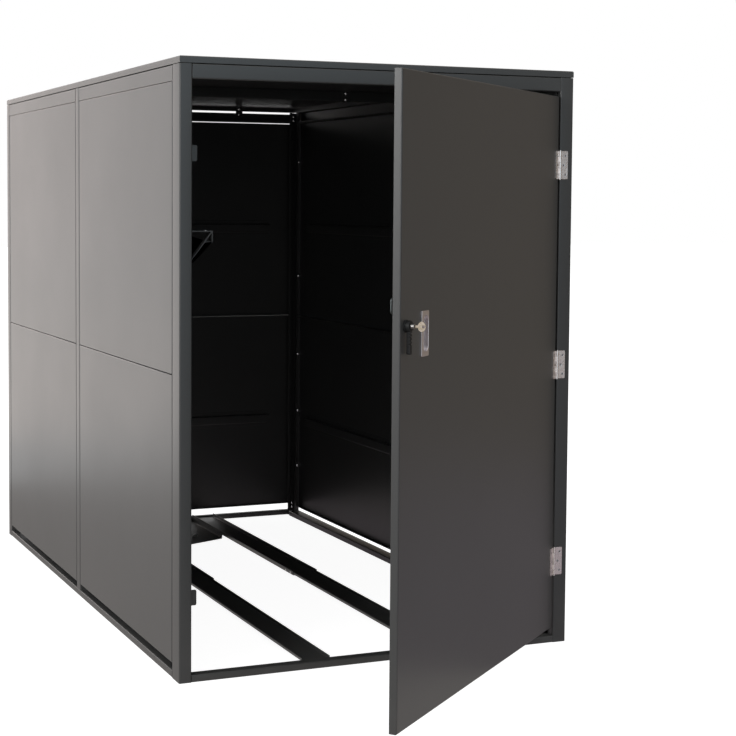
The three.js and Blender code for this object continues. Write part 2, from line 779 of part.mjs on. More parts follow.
function hingeLeaf(side, firstKnuckle, back) {
  const half = HINGE_HEIGHT / 2;
  const outline = rectangle([KNUCKLE_WEB, -half], [HINGE_LEAF, half]);
  const plate = new THREE.Shape(roundedOutline(outline, HINGE_CORNER));
  const sheetFront = back - HINGE_SHEET;
  const pieces = [prism(plate, HINGE_SHEET, "y", sheetFront)];
  for (let i = firstKnuckle; i < KNUCKLE_COUNT; i += 2) {
    const { low, high, barrel } = knuckle(i);
    const inset = low <= HINGE_CORNER - half ? HINGE_CORNER : 0;
    const outset = high >= half - HINGE_CORNER ? HINGE_CORNER : 0;
    const web = box([0, sheetFront, low + inset], [KNUCKLE_WEB + HINGE_CORNER, back, high - outset]);
    pieces.push(barrel, web);
  }
  const bore = revolved(
    [
      [0, -half - OVERRUN],
      [PIN_BORE, -half - OVERRUN],
      [PIN_BORE, half + OVERRUN],
      [0, half + OVERRUN],
    ],
    KNUCKLE_SIDES,
  ).rotateX(Math.PI / 2);
  const outer = HINGE_LEAF - OUTER_SCREW_INSET;
  const cutters = [
    bore,
    screwSink(outer, OUTER_SCREW_RISE, back),
    screwSink(outer, -OUTER_SCREW_RISE, back),
    screwSink(HINGE_LEAF - MIDDLE_SCREW_INSET, 0, back),
  ];
  const leaf = cut(joined(...pieces), ...cutters);
  return side === RIGHT ? leaf : mirroredInX(leaf);
}

function mirroredInX(geometry) {
  const mirror = geometry.clone().scale(-1, 1, 1);
  const index = mirror.index.array;
  for (let i = 0; i < index.length; i += 3) {
    [index[i + 1], index[i + 2]] = [index[i + 2], index[i + 1]];
  }
  return mirror;
}

function hingePin() {
  const half = HINGE_HEIGHT / 2 + FIT_GAP;
  const end = half + PIN_HEAD_HEIGHT;
  const profile = [
    [0, -end],
    [PIN_HEAD_RADIUS, -end],
    [PIN_HEAD_RADIUS, -half],
    [PIN_RADIUS, -half],
    [PIN_RADIUS, half],
    [PIN_HEAD_RADIUS, half],
    [PIN_HEAD_RADIUS, end],
    [0, end],
  ];
  return revolved(profile, SCREW_SIDES).rotateX(Math.PI / 2);
}

const HINGE_LEVELS = {
  upper: DOOR_MIDDLE + HINGE_SHARE * DOOR_HEIGHT,
  middle: DOOR_MIDDLE,
  lower: DOOR_MIDDLE - HINGE_SHARE * DOOR_HEIGHT,
};

// Door.

function doorLeaf() {
  const outer = softBlock(DOOR_THICKNESS, DOOR_WIDTH, DOOR_HEIGHT, BEND_RADIUS + FRAME_SHEET);
  const inside = [DOOR_THICKNESS, DOOR_WIDTH, DOOR_HEIGHT].map((size) => size - 2 * FRAME_SHEET);
  const pocket = softBlock(...inside, BEND_RADIUS).translate(FRAME_SHEET, FRAME_SHEET, FRAME_SHEET);
  const window = box(
    [DOOR_THICKNESS / 2, DOOR_LIP, DOOR_LIP],
    [DOOR_THICKNESS + OVERRUN, DOOR_WIDTH - DOOR_LIP, DOOR_HEIGHT - DOOR_LIP],
  );
  const corners = hatRib(FRAME_SHEET - WELD_SINK, DOOR_RIB_HEIGHT, DOOR_RIB_FLANGE, DOOR_RIB_DEPTH);
  const section = foldedSheet(corners, FRAME_SHEET);
  const ribs = DOOR_RIB_SHARES.map((share) =>
    prism(section, DOOR_WIDTH - 2 * DOOR_LIP, "y", DOOR_LIP).translate(0, 0, share * DOOR_HEIGHT),
  );
  const across = { cup: DOOR_WIDTH - PLATE_INSET - CUP_OFFSET, lever: DOOR_WIDTH - LEVER_INSET };
  const grown = 2 * (CUP_WALL + CUP_CLEARANCE);
  const cupHole = prism(stadium(CUP_WIDTH + grown, CUP_LENGTH + grown), DOOR_THICKNESS, "y");
  cupHole.rotateZ(-Math.PI / 2);
  cupHole.translate(-OVERRUN, across.cup, PLATE_HEIGHT_ABOVE_FLOOR - DOOR_BOTTOM);
  const reach = BARREL_RADIUS + BARREL_CLEARANCE;
  const barrelHole = revolved(
    [
      [0, -OVERRUN],
      [reach, -OVERRUN],
      [reach, DOOR_THICKNESS / 2],
      [0, DOOR_THICKNESS / 2],
    ],
    KNUCKLE_SIDES,
  );
  barrelHole.rotateZ(-Math.PI / 2).translate(0, across.lever, LEVER_HEIGHT_ABOVE_FLOOR - DOOR_BOTTOM);
  const shell = cut(outer, pocket, window);
  const geometry = cut(joined(shell, ...ribs), cupHole, barrelHole);
  const mesh = part("door_leaf", geometry, "powderCoat", [-HINGE_GAP / 2, AXIS_PROUD, DOOR_BOTTOM]);
  mesh.rotation.z = Math.PI / 2;
  return mesh;
}

// An upright slot outline with round ends, centred on the section's origin.
function stadium(width, length) {
  const radius = width / 2;
  const rise = length / 2 - radius;
  const shape = new THREE.Shape();
  shape.absarc(0, rise, radius, 0, Math.PI, false);
  shape.absarc(0, -rise, radius, Math.PI, 2 * Math.PI, false);
  return shape;
}

function pullPlate() {
  const half = [PLATE_WIDTH / 2, PLATE_LENGTH / 2];
  const front = -FIT_GAP - PLATE_THICKNESS;
  const outline = roundedRectangle([-half[0], -half[1]], half, PLATE_CORNER);
  const plate = prism(outline, PLATE_THICKNESS, "y", front);
  const cupShape = stadium(CUP_WIDTH + 2 * CUP_WALL, CUP_LENGTH + 2 * CUP_WALL);
  const cup = prism(cupShape, CUP_DEPTH + PLATE_THICKNESS / 2, "y", -PLATE_THICKNESS / 2);
  const hollow = prism(stadium(CUP_WIDTH, CUP_LENGTH), CUP_DEPTH + OVERRUN, "y", -OVERRUN - CUP_WALL);
  cup.translate(CUP_OFFSET, 0, 0);
  hollow.translate(CUP_OFFSET, 0, 0);
  const geometry = cut(joined(plate, cup), hollow);
  const x = PLATE_INSET - FREE_EDGE;
  return part("pull_plate", geometry, "stainless", [x, AXIS_PROUD, PLATE_HEIGHT_ABOVE_FLOOR]);
}

// Lever and lock, drawn about the spindle with the door's outer face at y = 0.

function leverBase() {
  const front = -FIT_GAP - BASE_FLANGE_THICKNESS;
  const profile = [
    [BARREL_BORE, front],
    [BASE_FLANGE_RADIUS - BASE_CHAMFER, front],
    [BASE_FLANGE_RADIUS, front + BASE_CHAMFER],
    [BASE_FLANGE_RADIUS, -FIT_GAP],
    [BARREL_RADIUS, -FIT_GAP],
    [BARREL_RADIUS, BARREL_LENGTH],
    [BARREL_BORE, BARREL_LENGTH],
    [BARREL_BORE, front],
  ];
  return part("lever_base", revolved(profile, KNUCKLE_SIDES), "blackMoulding");
}

function leverNut() {
  const radius = NUT_ACROSS_FLATS / Math.sqrt(3);
  const corners = Array.from({ length: 6 }, (_, i) => {
    return new THREE.Vector2(radius, 0).rotateAround(new THREE.Vector2(), (i * Math.PI) / 3);
  });
  const outline = new THREE.Shape(corners);
  outline.holes.push(new THREE.Path().absarc(0, 0, BARREL_RADIUS + FIT_GAP, 0, 2 * Math.PI, true));
  const geometry = prism(outline, NUT_THICKNESS, "y", FRAME_SHEET + FIT_GAP);
  return part("lever_nut", geometry, "zincedSteel");
}

const HUB_BACK = -2 * FIT_GAP - BASE_FLANGE_THICKNESS;
const HUB_FRONT = HUB_BACK - HUB_HEIGHT;
const PLUG_BACK = HUB_FRONT + PLUG_SINK;

function leverHandle() {
  const hub = revolved(
    [
      [0, HUB_FRONT],
      [HUB_RADIUS - HUB_CHAMFER, HUB_FRONT],
      [HUB_RADIUS, HUB_FRONT + HUB_CHAMFER],
      [HUB_RADIUS, HUB_BACK],
      [0, HUB_BACK],
    ],
    KNUCKLE_SIDES,
  );
  const half = ARM_WIDTH / 2;
  const armOutline = roundedRectangle([-half, -ARM_LENGTH], [half, half], BASE_CORNER);
  const armFront = HUB_BACK - ARM_THICKNESS;
  const arm = prism(armOutline, ARM_THICKNESS, "y", armFront);
  const grooveCorners = [
    new THREE.Vector2(armFront - OVERRUN, -GROOVE_WIDTH / 2),
    new THREE.Vector2(armFront, -GROOVE_WIDTH / 2),
    new THREE.Vector2(armFront + GROOVE_DEPTH, 0),
    new THREE.Vector2(armFront, GROOVE_WIDTH / 2),
    new THREE.Vector2(armFront - OVERRUN, GROOVE_WIDTH / 2),
  ];
  const grooves = Array.from({ length: GROOVE_COUNT }, (_, i) => {
    const groove = prism(new THREE.Shape(grooveCorners), ARM_WIDTH + 2 * OVERRUN, "x");
    return groove.translate(-half - OVERRUN, 0, -GROOVE_START - i * GROOVE_PITCH);
  });
  const bore = revolved(
    [
      [0, HUB_FRONT - OVERRUN],
      [PLUG_RADIUS + FIT_GAP, HUB_FRONT - OVERRUN],
      [PLUG_RADIUS + FIT_GAP, PLUG_BACK],
      [0, PLUG_BACK],
    ],
    KNUCKLE_SIDES,
  );
  const socket = SPINDLE_SIDE / 2 + FIT_GAP;
  const square = box([-socket, PLUG_BACK - FIT_GAP, -socket], [socket, HUB_BACK + OVERRUN, socket]);
  const geometry = cut(joined(hub, arm), ...grooves, bore, square);
  return part("lever_handle", geometry, "blackMoulding");
}

function spindle() {
  const half = SPINDLE_SIDE / 2;
  const hookBack = HOOK_SETBACK + HOOK_SHEET;
  const headFront = hookBack + FIT_GAP;
  const headBack = headFront + SPINDLE_HEAD_HEIGHT;
  const bar = box([-half, PLUG_BACK + FIT_GAP, -half], [half, headBack, half]);
  const head = revolved(
    [
      [0, headFront],
      [SPINDLE_HEAD_RADIUS, headFront],
      [SPINDLE_HEAD_RADIUS, headBack],
      [0, headBack],
    ],
    SCREW_SIDES,
  );
  return part("spindle", joined(bar, head), "zincedSteel");
}

// The hook stands up from the spindle with its head towards the door's free edge.
function latchHook() {
  const corners = [
    [-HOOK_HALF_WIDTH, -HOOK_TAIL],
    [HOOK_HALF_WIDTH, -HOOK_TAIL],
    [HOOK_HALF_WIDTH, HOOK_LENGTH],
    [-HOOK_HEAD_REACH, HOOK_LENGTH],
    [-HOOK_HEAD_REACH, HOOK_LENGTH - HOOK_HEAD_HEIGHT],
    [-HOOK_HALF_WIDTH, HOOK_LENGTH - HOOK_HEAD_HEIGHT],
  ];
  const outline = new THREE.Shape(roundedOutline(corners, HOOK_CORNER));
  const socket = SPINDLE_SIDE / 2 + FIT_GAP;
  const blank = prism(outline, HOOK_SHEET, "y", HOOK_SETBACK);
  const back = HOOK_SETBACK + HOOK_SHEET + OVERRUN;
  const hole = box([-socket, HOOK_SETBACK - OVERRUN, -socket], [socket, back, socket]);
  return part("latch_hook", cut(blank, hole), "zincedSteel");
}

function lockPlug() {
  const front = HUB_FRONT - PLUG_PROUD;
  const plug = revolved(
    [
      [0, front],
      [PLUG_RADIUS - PLUG_CHAMFER, front],
      [PLUG_RADIUS, front + PLUG_CHAMFER],
      [PLUG_RADIUS, PLUG_BACK - FIT_GAP],
      [0, PLUG_BACK - FIT_GAP],
    ],
    KNUCKLE_SIDES,
  );
  const halfWay = KEY_THICKNESS / 2 + FIT_GAP;
  const halfHeight = KEY_BLADE_HEIGHT / 2 + FIT_GAP;
  const end = front + KEY_BLADE_DEPTH + FIT_GAP;
  const keyway = box([-halfWay, front - OVERRUN, -halfHeight], [halfWay, end, halfHeight]);
  return part("lock_plug", cut(plug, keyway), "chrome");
}

function key() {
  const face = HUB_FRONT - PLUG_PROUD;
  const tip = face + KEY_BLADE_DEPTH;
  const blade = KEY_BLADE_HEIGHT / 2;
  const neck = KEY_NECK_HEIGHT / 2;
  const neckStart = face - KEY_NECK_SINK;
  const bowNear = face - KEY_NECK_LENGTH;
  const bow = [KEY_BOW_LENGTH / 2, KEY_BOW_HEIGHT / 2];
  const spread = Math.asin(neck / bow[1]);
  const centre = bowNear - bow[0] * Math.cos(spread);
  const outline = new THREE.Shape();
  outline.moveTo(tip, 0);
  outline.lineTo(tip - KEY_TIP, blade);
  outline.lineTo(neckStart, blade);
  outline.lineTo(neckStart, neck);
  outline.absellipse(centre, 0, ...bow, spread, 2 * Math.PI - spread, false);
  outline.lineTo(neckStart, -neck);
  outline.lineTo(neckStart, -blade);
  for (let i = 0; i < KEY_CUT_COUNT; i += 1) {
    const at = face + KEY_CUT_PITCH * (i + 1);
    outline.lineTo(at - KEY_CUT_WIDTH / 2, -blade);
    outline.lineTo(at, KEY_CUT_DEPTH - blade);
    outline.lineTo(at + KEY_CUT_WIDTH / 2, -blade);
  }
  outline.lineTo(tip - KEY_TIP, -blade);
  const holeAt = centre - KEY_HOLE_OFFSET;
  outline.holes.push(new THREE.Path().absarc(holeAt, 0, KEY_HOLE_RADIUS, 0, 2 * Math.PI, true));
  const geometry = prism(outline, KEY_THICKNESS, "x", -KEY_THICKNESS / 2);
  return part("key", geometry, "nickelBrass");
}

// Assembly.

const cabinet = new THREE.Group();
cabinet.add(
  frontPost("left_front_post", LEFT, LOCK_POST_FACE),
  frontPost("right_front_post", RIGHT, HINGE_POST_FACE),
  rearPost("left_rear_post", LEFT),
  rearPost("right_rear_post", RIGHT),
  midPost("left_mid_post", LEFT),
  midPost("right_mid_post", RIGHT),
  sideTopRail("left_top_rail", LEFT),
  sideTopRail("right_top_rail", RIGHT),
  lintel(),
  rearTopRail(),
  sill(),
  sideBaseRail("left_bottom_rail", LEFT),
  sideBaseRail("right_bottom_rail", RIGHT),
  rearBaseRail(),
  ...sidePanels("left", LEFT),
  ...sidePanels("right", RIGHT),
  ...rearPanels(),
  roofTray(),
  crossBeam(),
  ...roofClips(),
  ...wheelChannel("left", LEFT),
  ...wheelChannel("right", RIGHT),
  channelTie(),
  cornerConsole(),
  doorStop("upper_door_stop", DOOR_MIDDLE + STOP_SHARE * DOOR_HEIGHT),
  doorStop("lower_door_stop", DOOR_MIDDLE - STOP_SHARE * DOOR_HEIGHT),
);

const hingeLine = new THREE.Group();
hingeLine.position.set(WIDTH / 2 - HINGE_POST_FACE - HINGE_GAP / 2, -AXIS_PROUD, 0);
cabinet.add(hingeLine);

const door = new THREE.Group();
door.rotation.z = THREE.MathUtils.degToRad(DOOR_OPEN_DEGREES);
hingeLine.add(door);
door.add(doorLeaf(), pullPlate());

for (const [level, z] of Object.entries(HINGE_LEVELS)) {
  const place = [0, 0, z];
  const frameLeaf = hingeLeaf(RIGHT, 0, AXIS_PROUD);
  const swingLeaf = hingeLeaf(LEFT, 1, AXIS_PROUD - FIT_GAP);
  hingeLine.add(part(`${level}_hinge_frame_leaf`, frameLeaf, "stainless", place));
  hingeLine.add(part(`${level}_hinge_pin`, hingePin(), "stainless", place));
  door.add(part(`${level}_hinge_door_leaf`, swingLeaf, "stainless", place));
}

const lever = new THREE.Group();
lever.position.set(LEVER_INSET - FREE_EDGE, AXIS_PROUD, LEVER_HEIGHT_ABOVE_FLOOR);
lever.add(leverBase(), leverNut(), leverHandle(), spindle(), latchHook(), lockPlug(), key());
door.add(lever);

const locker = new THREE.Group();
cabinet.position.y = -SILL_DEPTH / 2;
locker.add(cabinet);

export default locker;
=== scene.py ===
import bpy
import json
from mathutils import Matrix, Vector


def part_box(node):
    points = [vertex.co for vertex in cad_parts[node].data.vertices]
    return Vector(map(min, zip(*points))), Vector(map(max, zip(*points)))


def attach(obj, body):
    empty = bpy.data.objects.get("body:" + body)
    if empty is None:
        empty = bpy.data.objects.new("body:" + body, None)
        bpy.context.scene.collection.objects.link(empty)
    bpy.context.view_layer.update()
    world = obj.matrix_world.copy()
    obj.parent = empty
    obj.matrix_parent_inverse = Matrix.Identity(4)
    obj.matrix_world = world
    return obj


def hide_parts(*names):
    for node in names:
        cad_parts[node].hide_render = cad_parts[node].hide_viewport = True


bl_info = {
    "name": "Bicycle Locker",
    "version": (1, 0, 0),
    "blender": (4, 5, 0),
    "location": "View3D > Sidebar > Locker",
    "description": "Finishes a bicycle locker's sheet steel, hinges and lock, and sets up its studio",
    "category": "Object",
}

import json
import math

import bmesh
import bpy
from bpy.props import FloatProperty, FloatVectorProperty, IntProperty, PointerProperty
from mathutils import Matrix, Vector

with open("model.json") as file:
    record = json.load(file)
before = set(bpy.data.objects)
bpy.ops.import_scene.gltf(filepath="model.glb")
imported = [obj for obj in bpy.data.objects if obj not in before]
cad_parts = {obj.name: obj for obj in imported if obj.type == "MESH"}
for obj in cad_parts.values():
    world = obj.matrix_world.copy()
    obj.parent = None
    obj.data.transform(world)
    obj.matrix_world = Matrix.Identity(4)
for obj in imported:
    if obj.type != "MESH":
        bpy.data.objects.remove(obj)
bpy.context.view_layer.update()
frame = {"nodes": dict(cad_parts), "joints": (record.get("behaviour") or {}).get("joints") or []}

# Lengths are in metres, unless a comment says otherwise.

DOOR_HINGE = next(joint for joint in frame["joints"] if joint["name"] == "door_hinge")
SIDES = (("left", 1), ("right", -1))  # each side, and its way inward along X
FORWARD = (0, -1, 0)  # out of the locker's front

# CAD points this close are merged, and faces this flat to each other are joined.
SAME_POINT = 2e-6
SAME_PLANE = math.radians(0.5)
CREASE = 50  # edges flatter than this many degrees are shaded round
EDGE_SEGMENTS = 2

# A folded sheet's cuts, where a mid post runs up through a top rail.
CUT_SLACK = 1e-6
TOP_SLACK = 1e-5
RAISED_SHEET = 0.0014  # thickness of the post's raised face
WINDOW_DEPTH = 0.004  # how far the rail is open, beyond its bends


def door_placement():
    """The matrix from the closed door's frame, about its hinge line, to the open door's place."""
    line = Vector(DOOR_HINGE["pos_m"])
    line.z = 0
    opened = -math.radians(DOOR_HINGE["range_deg"][0])
    return Matrix.Translation(line) @ Matrix.Rotation(opened, 4, "Z")


def facing(direction):
    """The turn that stands a piece drawn along +Z on a surface that faces this way."""
    return Vector(direction).to_track_quat("Z", "Y").to_matrix().to_4x4()


def node_corners(node):
    """The lowest and the highest corner of a CAD node."""
    low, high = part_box(node)
    return Vector(low), Vector(high)


def outer_face(node, inward):
    """Where along X a node of one side has its outer face."""
    low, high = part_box(node)
    return low[0] if inward > 0 else high[0]


# Meshes


def sheet_mesh(node):
    """A merged working copy of a CAD node with its flat faces made whole."""
    bm = bmesh.new()
    bm.from_mesh(frame["nodes"][node].data)
    bmesh.ops.remove_doubles(bm, verts=bm.verts, dist=SAME_POINT)
    bmesh.ops.dissolve_limit(
        bm,
        angle_limit=SAME_PLANE,
        verts=bm.verts,
        edges=bm.edges,
        use_dissolve_boundaries=False,
    )
    return bm


def shade(bm, crease):
    """Rounds the shading over every edge that is flatter than the crease angle."""
    for face in bm.faces:
        face.smooth = True
    for edge in bm.edges:
        edge.smooth = edge.calc_face_angle(0) < crease


def add_piece(bm, name, body, material, replaced=(), softened=0.0, crease=CREASE):
    """Turns a bmesh into a named piece that rides on a body."""
    shade(bm, math.radians(crease))
    mesh = bpy.data.meshes.new(name)
    bm.to_mesh(mesh)
    bm.free()
    mesh.materials.append(material)
    piece = bpy.data.objects.new(name, mesh)
    bpy.context.scene.collection.objects.link(piece)
    if softened:
        bevel = piece.modifiers.new("softened edges", "BEVEL")
        bevel.width = softened
        bevel.segments = EDGE_SEGMENTS
        bevel.limit_method = "ANGLE"
        bevel.angle_limit = math.radians(crease)
        bevel.use_clamp_overlap = True
    weighted = piece.modifiers.new("flat faces", "WEIGHTED_NORMAL")
    weighted.keep_sharp = True
    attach(piece, body)
    if replaced:
        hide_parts(*replaced)


def dress(nodes, body, material, suffix, softened):
    """Gives each CAD node a finished copy with softened edges."""
    for node in nodes:
        add_piece(sheet_mesh(node), f"{node}_{suffix}", body, material, (node,), softened)


def dress_coated(nodes, suffix, body="cabinet"):
    """Dresses CAD nodes that are powder-coated."""
    if not nodes:
        raise RuntimeError("the frame has no CAD node for this piece")
    edge = bpy.context.scene.locker_finishes.sheet_edge
    dress(nodes, body, powder_coat(), suffix, edge)


def cut_across(bm, faces, point, normal):
    """Cuts faces along a plane and keeps both sides."""
    geometry = dict.fromkeys(item for face in faces for item in (face, *face.edges, *face.verts))
    bmesh.ops.bisect_plane(
        bm, geom=list(geometry), dist=CUT_SLACK, plane_co=point, plane_no=normal
    )


def open_window(bm, wall, low, high):
    """Cuts a folded sheet open from its outer face to the plane x = wall, between two depths."""
    for depth in (low, high):
        cut_across(bm, bm.faces, (0, depth, 0), (0, 1, 0))
    between = [face for face in bm.faces if low < face.calc_center_median().y < high]
    cut_across(bm, between, (wall, 0, 0), (1, 0, 0))
    middles = {face: face.calc_center_median() for face in bm.faces}
    window = [
        face
        for face, middle in middles.items()
        if low < middle.y < high and abs(middle.x) > abs(wall)
    ]
    bmesh.ops.delete(bm, geom=window, context="FACES")
    bmesh.ops.bridge_loops(bm, edges=[edge for edge in bm.edges if edge.is_boundary])
    bmesh.ops.recalc_face_normals(bm, faces=bm.faces)


def raise_face(bm, wall, height):
    """Runs the part of a post's top end that lies outside the plane x = wall further up."""
    top = max(vert.co.z for vert in bm.verts) - TOP_SLACK
    ends = [face for face in bm.faces if face.calc_center_median().z > top]
    cut_across(bm, ends, (wall, 0, 0), (1, 0, 0))
    middles = {face: face.calc_center_median() for face in bm.faces}
    strip = [
        face for face, middle in middles.items() if middle.z > top and abs(middle.x) > abs(wall)
    ]
    made = bmesh.ops.extrude_face_region(bm, geom=strip)["geom"]
    covered = [face for face in strip if face.is_valid]
    bmesh.ops.delete(bm, geom=covered, context="FACES_ONLY")
    verts = [item for item in made if isinstance(item, bmesh.types.BMVert)]
    bmesh.ops.translate(bm, verts=verts, vec=(0, 0, height))
    bmesh.ops.recalc_face_normals(bm, faces=bm.faces)


# Fastener heads

DOME_ANGLE = math.radians(30)  # slope of a screw's dome at its rim
DOME_STEPS = (1, 0.8, 0.6, 0.4)
RIM_SHARE = 0.3  # height of the straight rim under the dome, as a share of the rise

# The cross recess at its mouth and its floor: reach and half width as shares of the head's
# radius, and height as a share of its rise.
CROSS_RECESS = ((0.34, 0.09, 0.95), (0.24, 0.06, 0.4))

# A washer and a hexagon: share of the radius, share of the rise, and sides.
HEX_PROFILE = (
    (1.5, 0, 24),
    (1.5, 0.18, 24),
    (0.98, 0.2, 24),
    (1, 0.26, 6),
    (1, 0.92, 6),
    (0.84, 1, 24),
)

HEAD_TURN = 0.7  # radians from one head in a row to the next


def ring(bm, radius, height, sides=24):
    """A loop of edges round +Z."""
    place = Matrix.Translation((0, 0, height))
    made = bmesh.ops.create_circle(
        bm, cap_ends=False, segments=sides, radius=radius, matrix=place
    )
    return list({edge for vert in made["verts"] for edge in vert.link_edges})


def cross_ring(bm, reach, width, height):
    """The outline of a cross recess as a loop of edges."""
    arm = [(reach, -width), (reach, width), (width, width)]
    verts = []
    for turn in range(4):
        spin = Matrix.Rotation(turn * math.pi / 2, 3, "Z")
        verts += [bm.verts.new(spin @ Vector((x, y, height))) for x, y in arm]
    return [bm.edges.new((verts[i - 1], verts[i])) for i in range(len(verts))]


def bridge(bm, loops):
    """Joins each loop to the next, and closes the first and the last."""
    for near, far in zip(loops, loops[1:]):
        bmesh.ops.bridge_loops(bm, edges=near + far)
    bmesh.ops.contextual_create(bm, geom=loops[0])
    bmesh.ops.contextual_create(bm, geom=loops[-1])
    bmesh.ops.recalc_face_normals(bm, faces=bm.faces)


def screw_head(radius, rise):
    """A shallow domed head with a cross recess, seated at z = 0 and standing towards +Z."""
    bm = bmesh.new()
    rim = rise * RIM_SHARE
    foot = math.cos(DOME_ANGLE)
    loops = [ring(bm, radius, 0)]
    for step in DOME_STEPS:
        slope = DOME_ANGLE * step
        height = (math.cos(slope) - foot) / (1 - foot)
        reach = radius * math.sin(slope) / math.sin(DOME_ANGLE)
        loops.append(ring(bm, reach, rim + (rise - rim) * height))
    for reach, width, height in CROSS_RECESS:
        loops.append(cross_ring(bm, radius * reach, radius * width, rise * height))
    bridge(bm, loops)
    return bm


def hex_head(radius, rise):
    """A hexagon head on a washer, seated at z = 0."""
    bm = bmesh.new()
    loops = [
        ring(bm, radius * reach, rise * height, sides) for reach, height, sides in HEX_PROFILE
    ]
    bridge(bm, loops)
    return bm


def scatter(head, seats):
    """One bmesh with a copy of the head at each (place, facing) seat."""
    gathered = bmesh.new()
    pattern = bpy.data.meshes.new("head pattern")
    head.to_mesh(pattern)
    head.free()
    for index, (place, direction) in enumerate(seats):
        turned = Matrix.Rotation(index * HEAD_TURN, 4, "Z")
        before = len(gathered.verts)
        gathered.from_mesh(pattern)
        gathered.verts.ensure_lookup_table()
        matrix = Matrix.Translation(place) @ facing(direction) @ turned
        bmesh.ops.transform(gathered, matrix=matrix, verts=gathered.verts[before:])
    bpy.data.meshes.remove(pattern)
    return gathered


# Shader nodes


def feed(tree, slot, value):
    """Sets a socket to a number, or links it to another socket."""
    if isinstance(value, (int, float)):
        slot.default_value = value
    else:
        tree.links.new(value, slot)


def math_node(tree, operation, *values):
    """The result of a sum or product of numbers and sockets."""
    node = tree.nodes.new("ShaderNodeMath")
    node.operation = operation
    for slot, value in zip(node.inputs, values):
        feed(tree, slot, value)
    return node.outputs["Value"]


def noise(tree, vector, scale, detail, roughness):
    """A noise value at each point."""
    node = tree.nodes.new("ShaderNodeTexNoise")
    node.inputs["Detail"].default_value = detail
    node.inputs["Roughness"].default_value = roughness
    tree.links.new(vector, node.inputs["Vector"])
    feed(tree, node.inputs["Scale"], scale)
    return node.outputs["Fac"]


def mixed(tree, factor, first, second):
    """A colour between two others."""
    node = tree.nodes.new("ShaderNodeMix")
    node.data_type = "RGBA"
    for name, value in (("Factor", factor), ("A", first), ("B", second)):
        tree.links.new(value, node.inputs[name])
    return node.outputs["Result"]


def remapped(tree, value, span, target):
    """A value moved from one span to another and held inside it."""
    node = tree.nodes.new("ShaderNodeMapRange")
    node.clamp = True
    tree.links.new(value, node.inputs["Value"])
    for name, number in zip(("From Min", "From Max", "To Min", "To Max"), (*span, *target)):
        feed(tree, node.inputs[name], number)
    return node.outputs["Result"]


def effect_group(name, colors, values):
    """A node group from a place, colours and values to a colour, a roughness and a height."""
    group = bpy.data.node_groups.new(name, "ShaderNodeTree")
    add = group.interface.new_socket
    add(name="Vector", in_out="INPUT", socket_type="NodeSocketVector")
    for color in colors:
        add(name=color, in_out="INPUT", socket_type="NodeSocketColor")
    for key, value in values.items():
        add(name=key, in_out="INPUT", socket_type="NodeSocketFloat").default_value = value
    add(name="Color", in_out="OUTPUT", socket_type="NodeSocketColor")
    for key in ("Roughness", "Height"):
        add(name=key, in_out="OUTPUT", socket_type="NodeSocketFloat")
    return group, group.nodes.new("NodeGroupInput"), group.nodes.new("NodeGroupOutput")


def coat_grain_group():
    """Sprayed grain: pimples, slow clouds in tone and gloss, and a little dust near the ground."""
    if "coat grain" in bpy.data.node_groups:
        return bpy.data.node_groups["coat grain"]
    group, given, result = effect_group(
        "coat grain",
        ("Color", "Dust Color"),
        {"Dust": 0.1, "Dust Height": 0.2, "Grain Scale": 900.0, "Roughness": 0.4, "Cloud": 0.1},
    )
    vector, cloud = given.outputs["Vector"], given.outputs["Cloud"]
    grain = noise(group, vector, given.outputs["Grain Scale"], detail=2.0, roughness=0.55)
    clouds = noise(group, vector, scale=1.7, detail=4.0, roughness=0.6)
    speckle = noise(group, vector, scale=2300.0, detail=1.0, roughness=0.5)
    patches = noise(group, vector, scale=14.0, detail=5.0, roughness=0.65)
    tone = math_node(group, "MULTIPLY_ADD", clouds, cloud, 1.0)
    tone = math_node(group, "MULTIPLY_ADD", cloud, -0.5, tone)
    glint = remapped(group, speckle, span=(0.35, 0.75), target=(0.93, 1.12))
    tone = math_node(group, "MULTIPLY", tone, glint)
    scaled = group.nodes.new("ShaderNodeVectorMath")
    scaled.operation = "SCALE"
    group.links.new(given.outputs["Color"], scaled.inputs[0])
    group.links.new(tone, scaled.inputs["Scale"])
    parts = group.nodes.new("ShaderNodeSeparateXYZ")
    group.links.new(vector, parts.inputs["Vector"])
    dusty = (0.0, given.outputs["Dust Height"])
    low = remapped(group, parts.outputs["Z"], span=dusty, target=(1.0, 0.0))
    patchy = remapped(group, patches, span=(0.35, 0.7), target=(0.2, 1.0))
    dust = math_node(group, "MULTIPLY", low, patchy)
    dust = math_node(group, "MULTIPLY", dust, given.outputs["Dust"])
    color = mixed(group, dust, scaled.outputs["Vector"], given.outputs["Dust Color"])
    gloss = math_node(group, "MULTIPLY_ADD", clouds, 0.1, given.outputs["Roughness"])
    gloss = math_node(group, "MULTIPLY_ADD", dust, 0.4, gloss)
    group.links.new(color, result.inputs["Color"])
    group.links.new(gloss, result.inputs["Roughness"])
    group.links.new(grain, result.inputs["Height"])
    return group


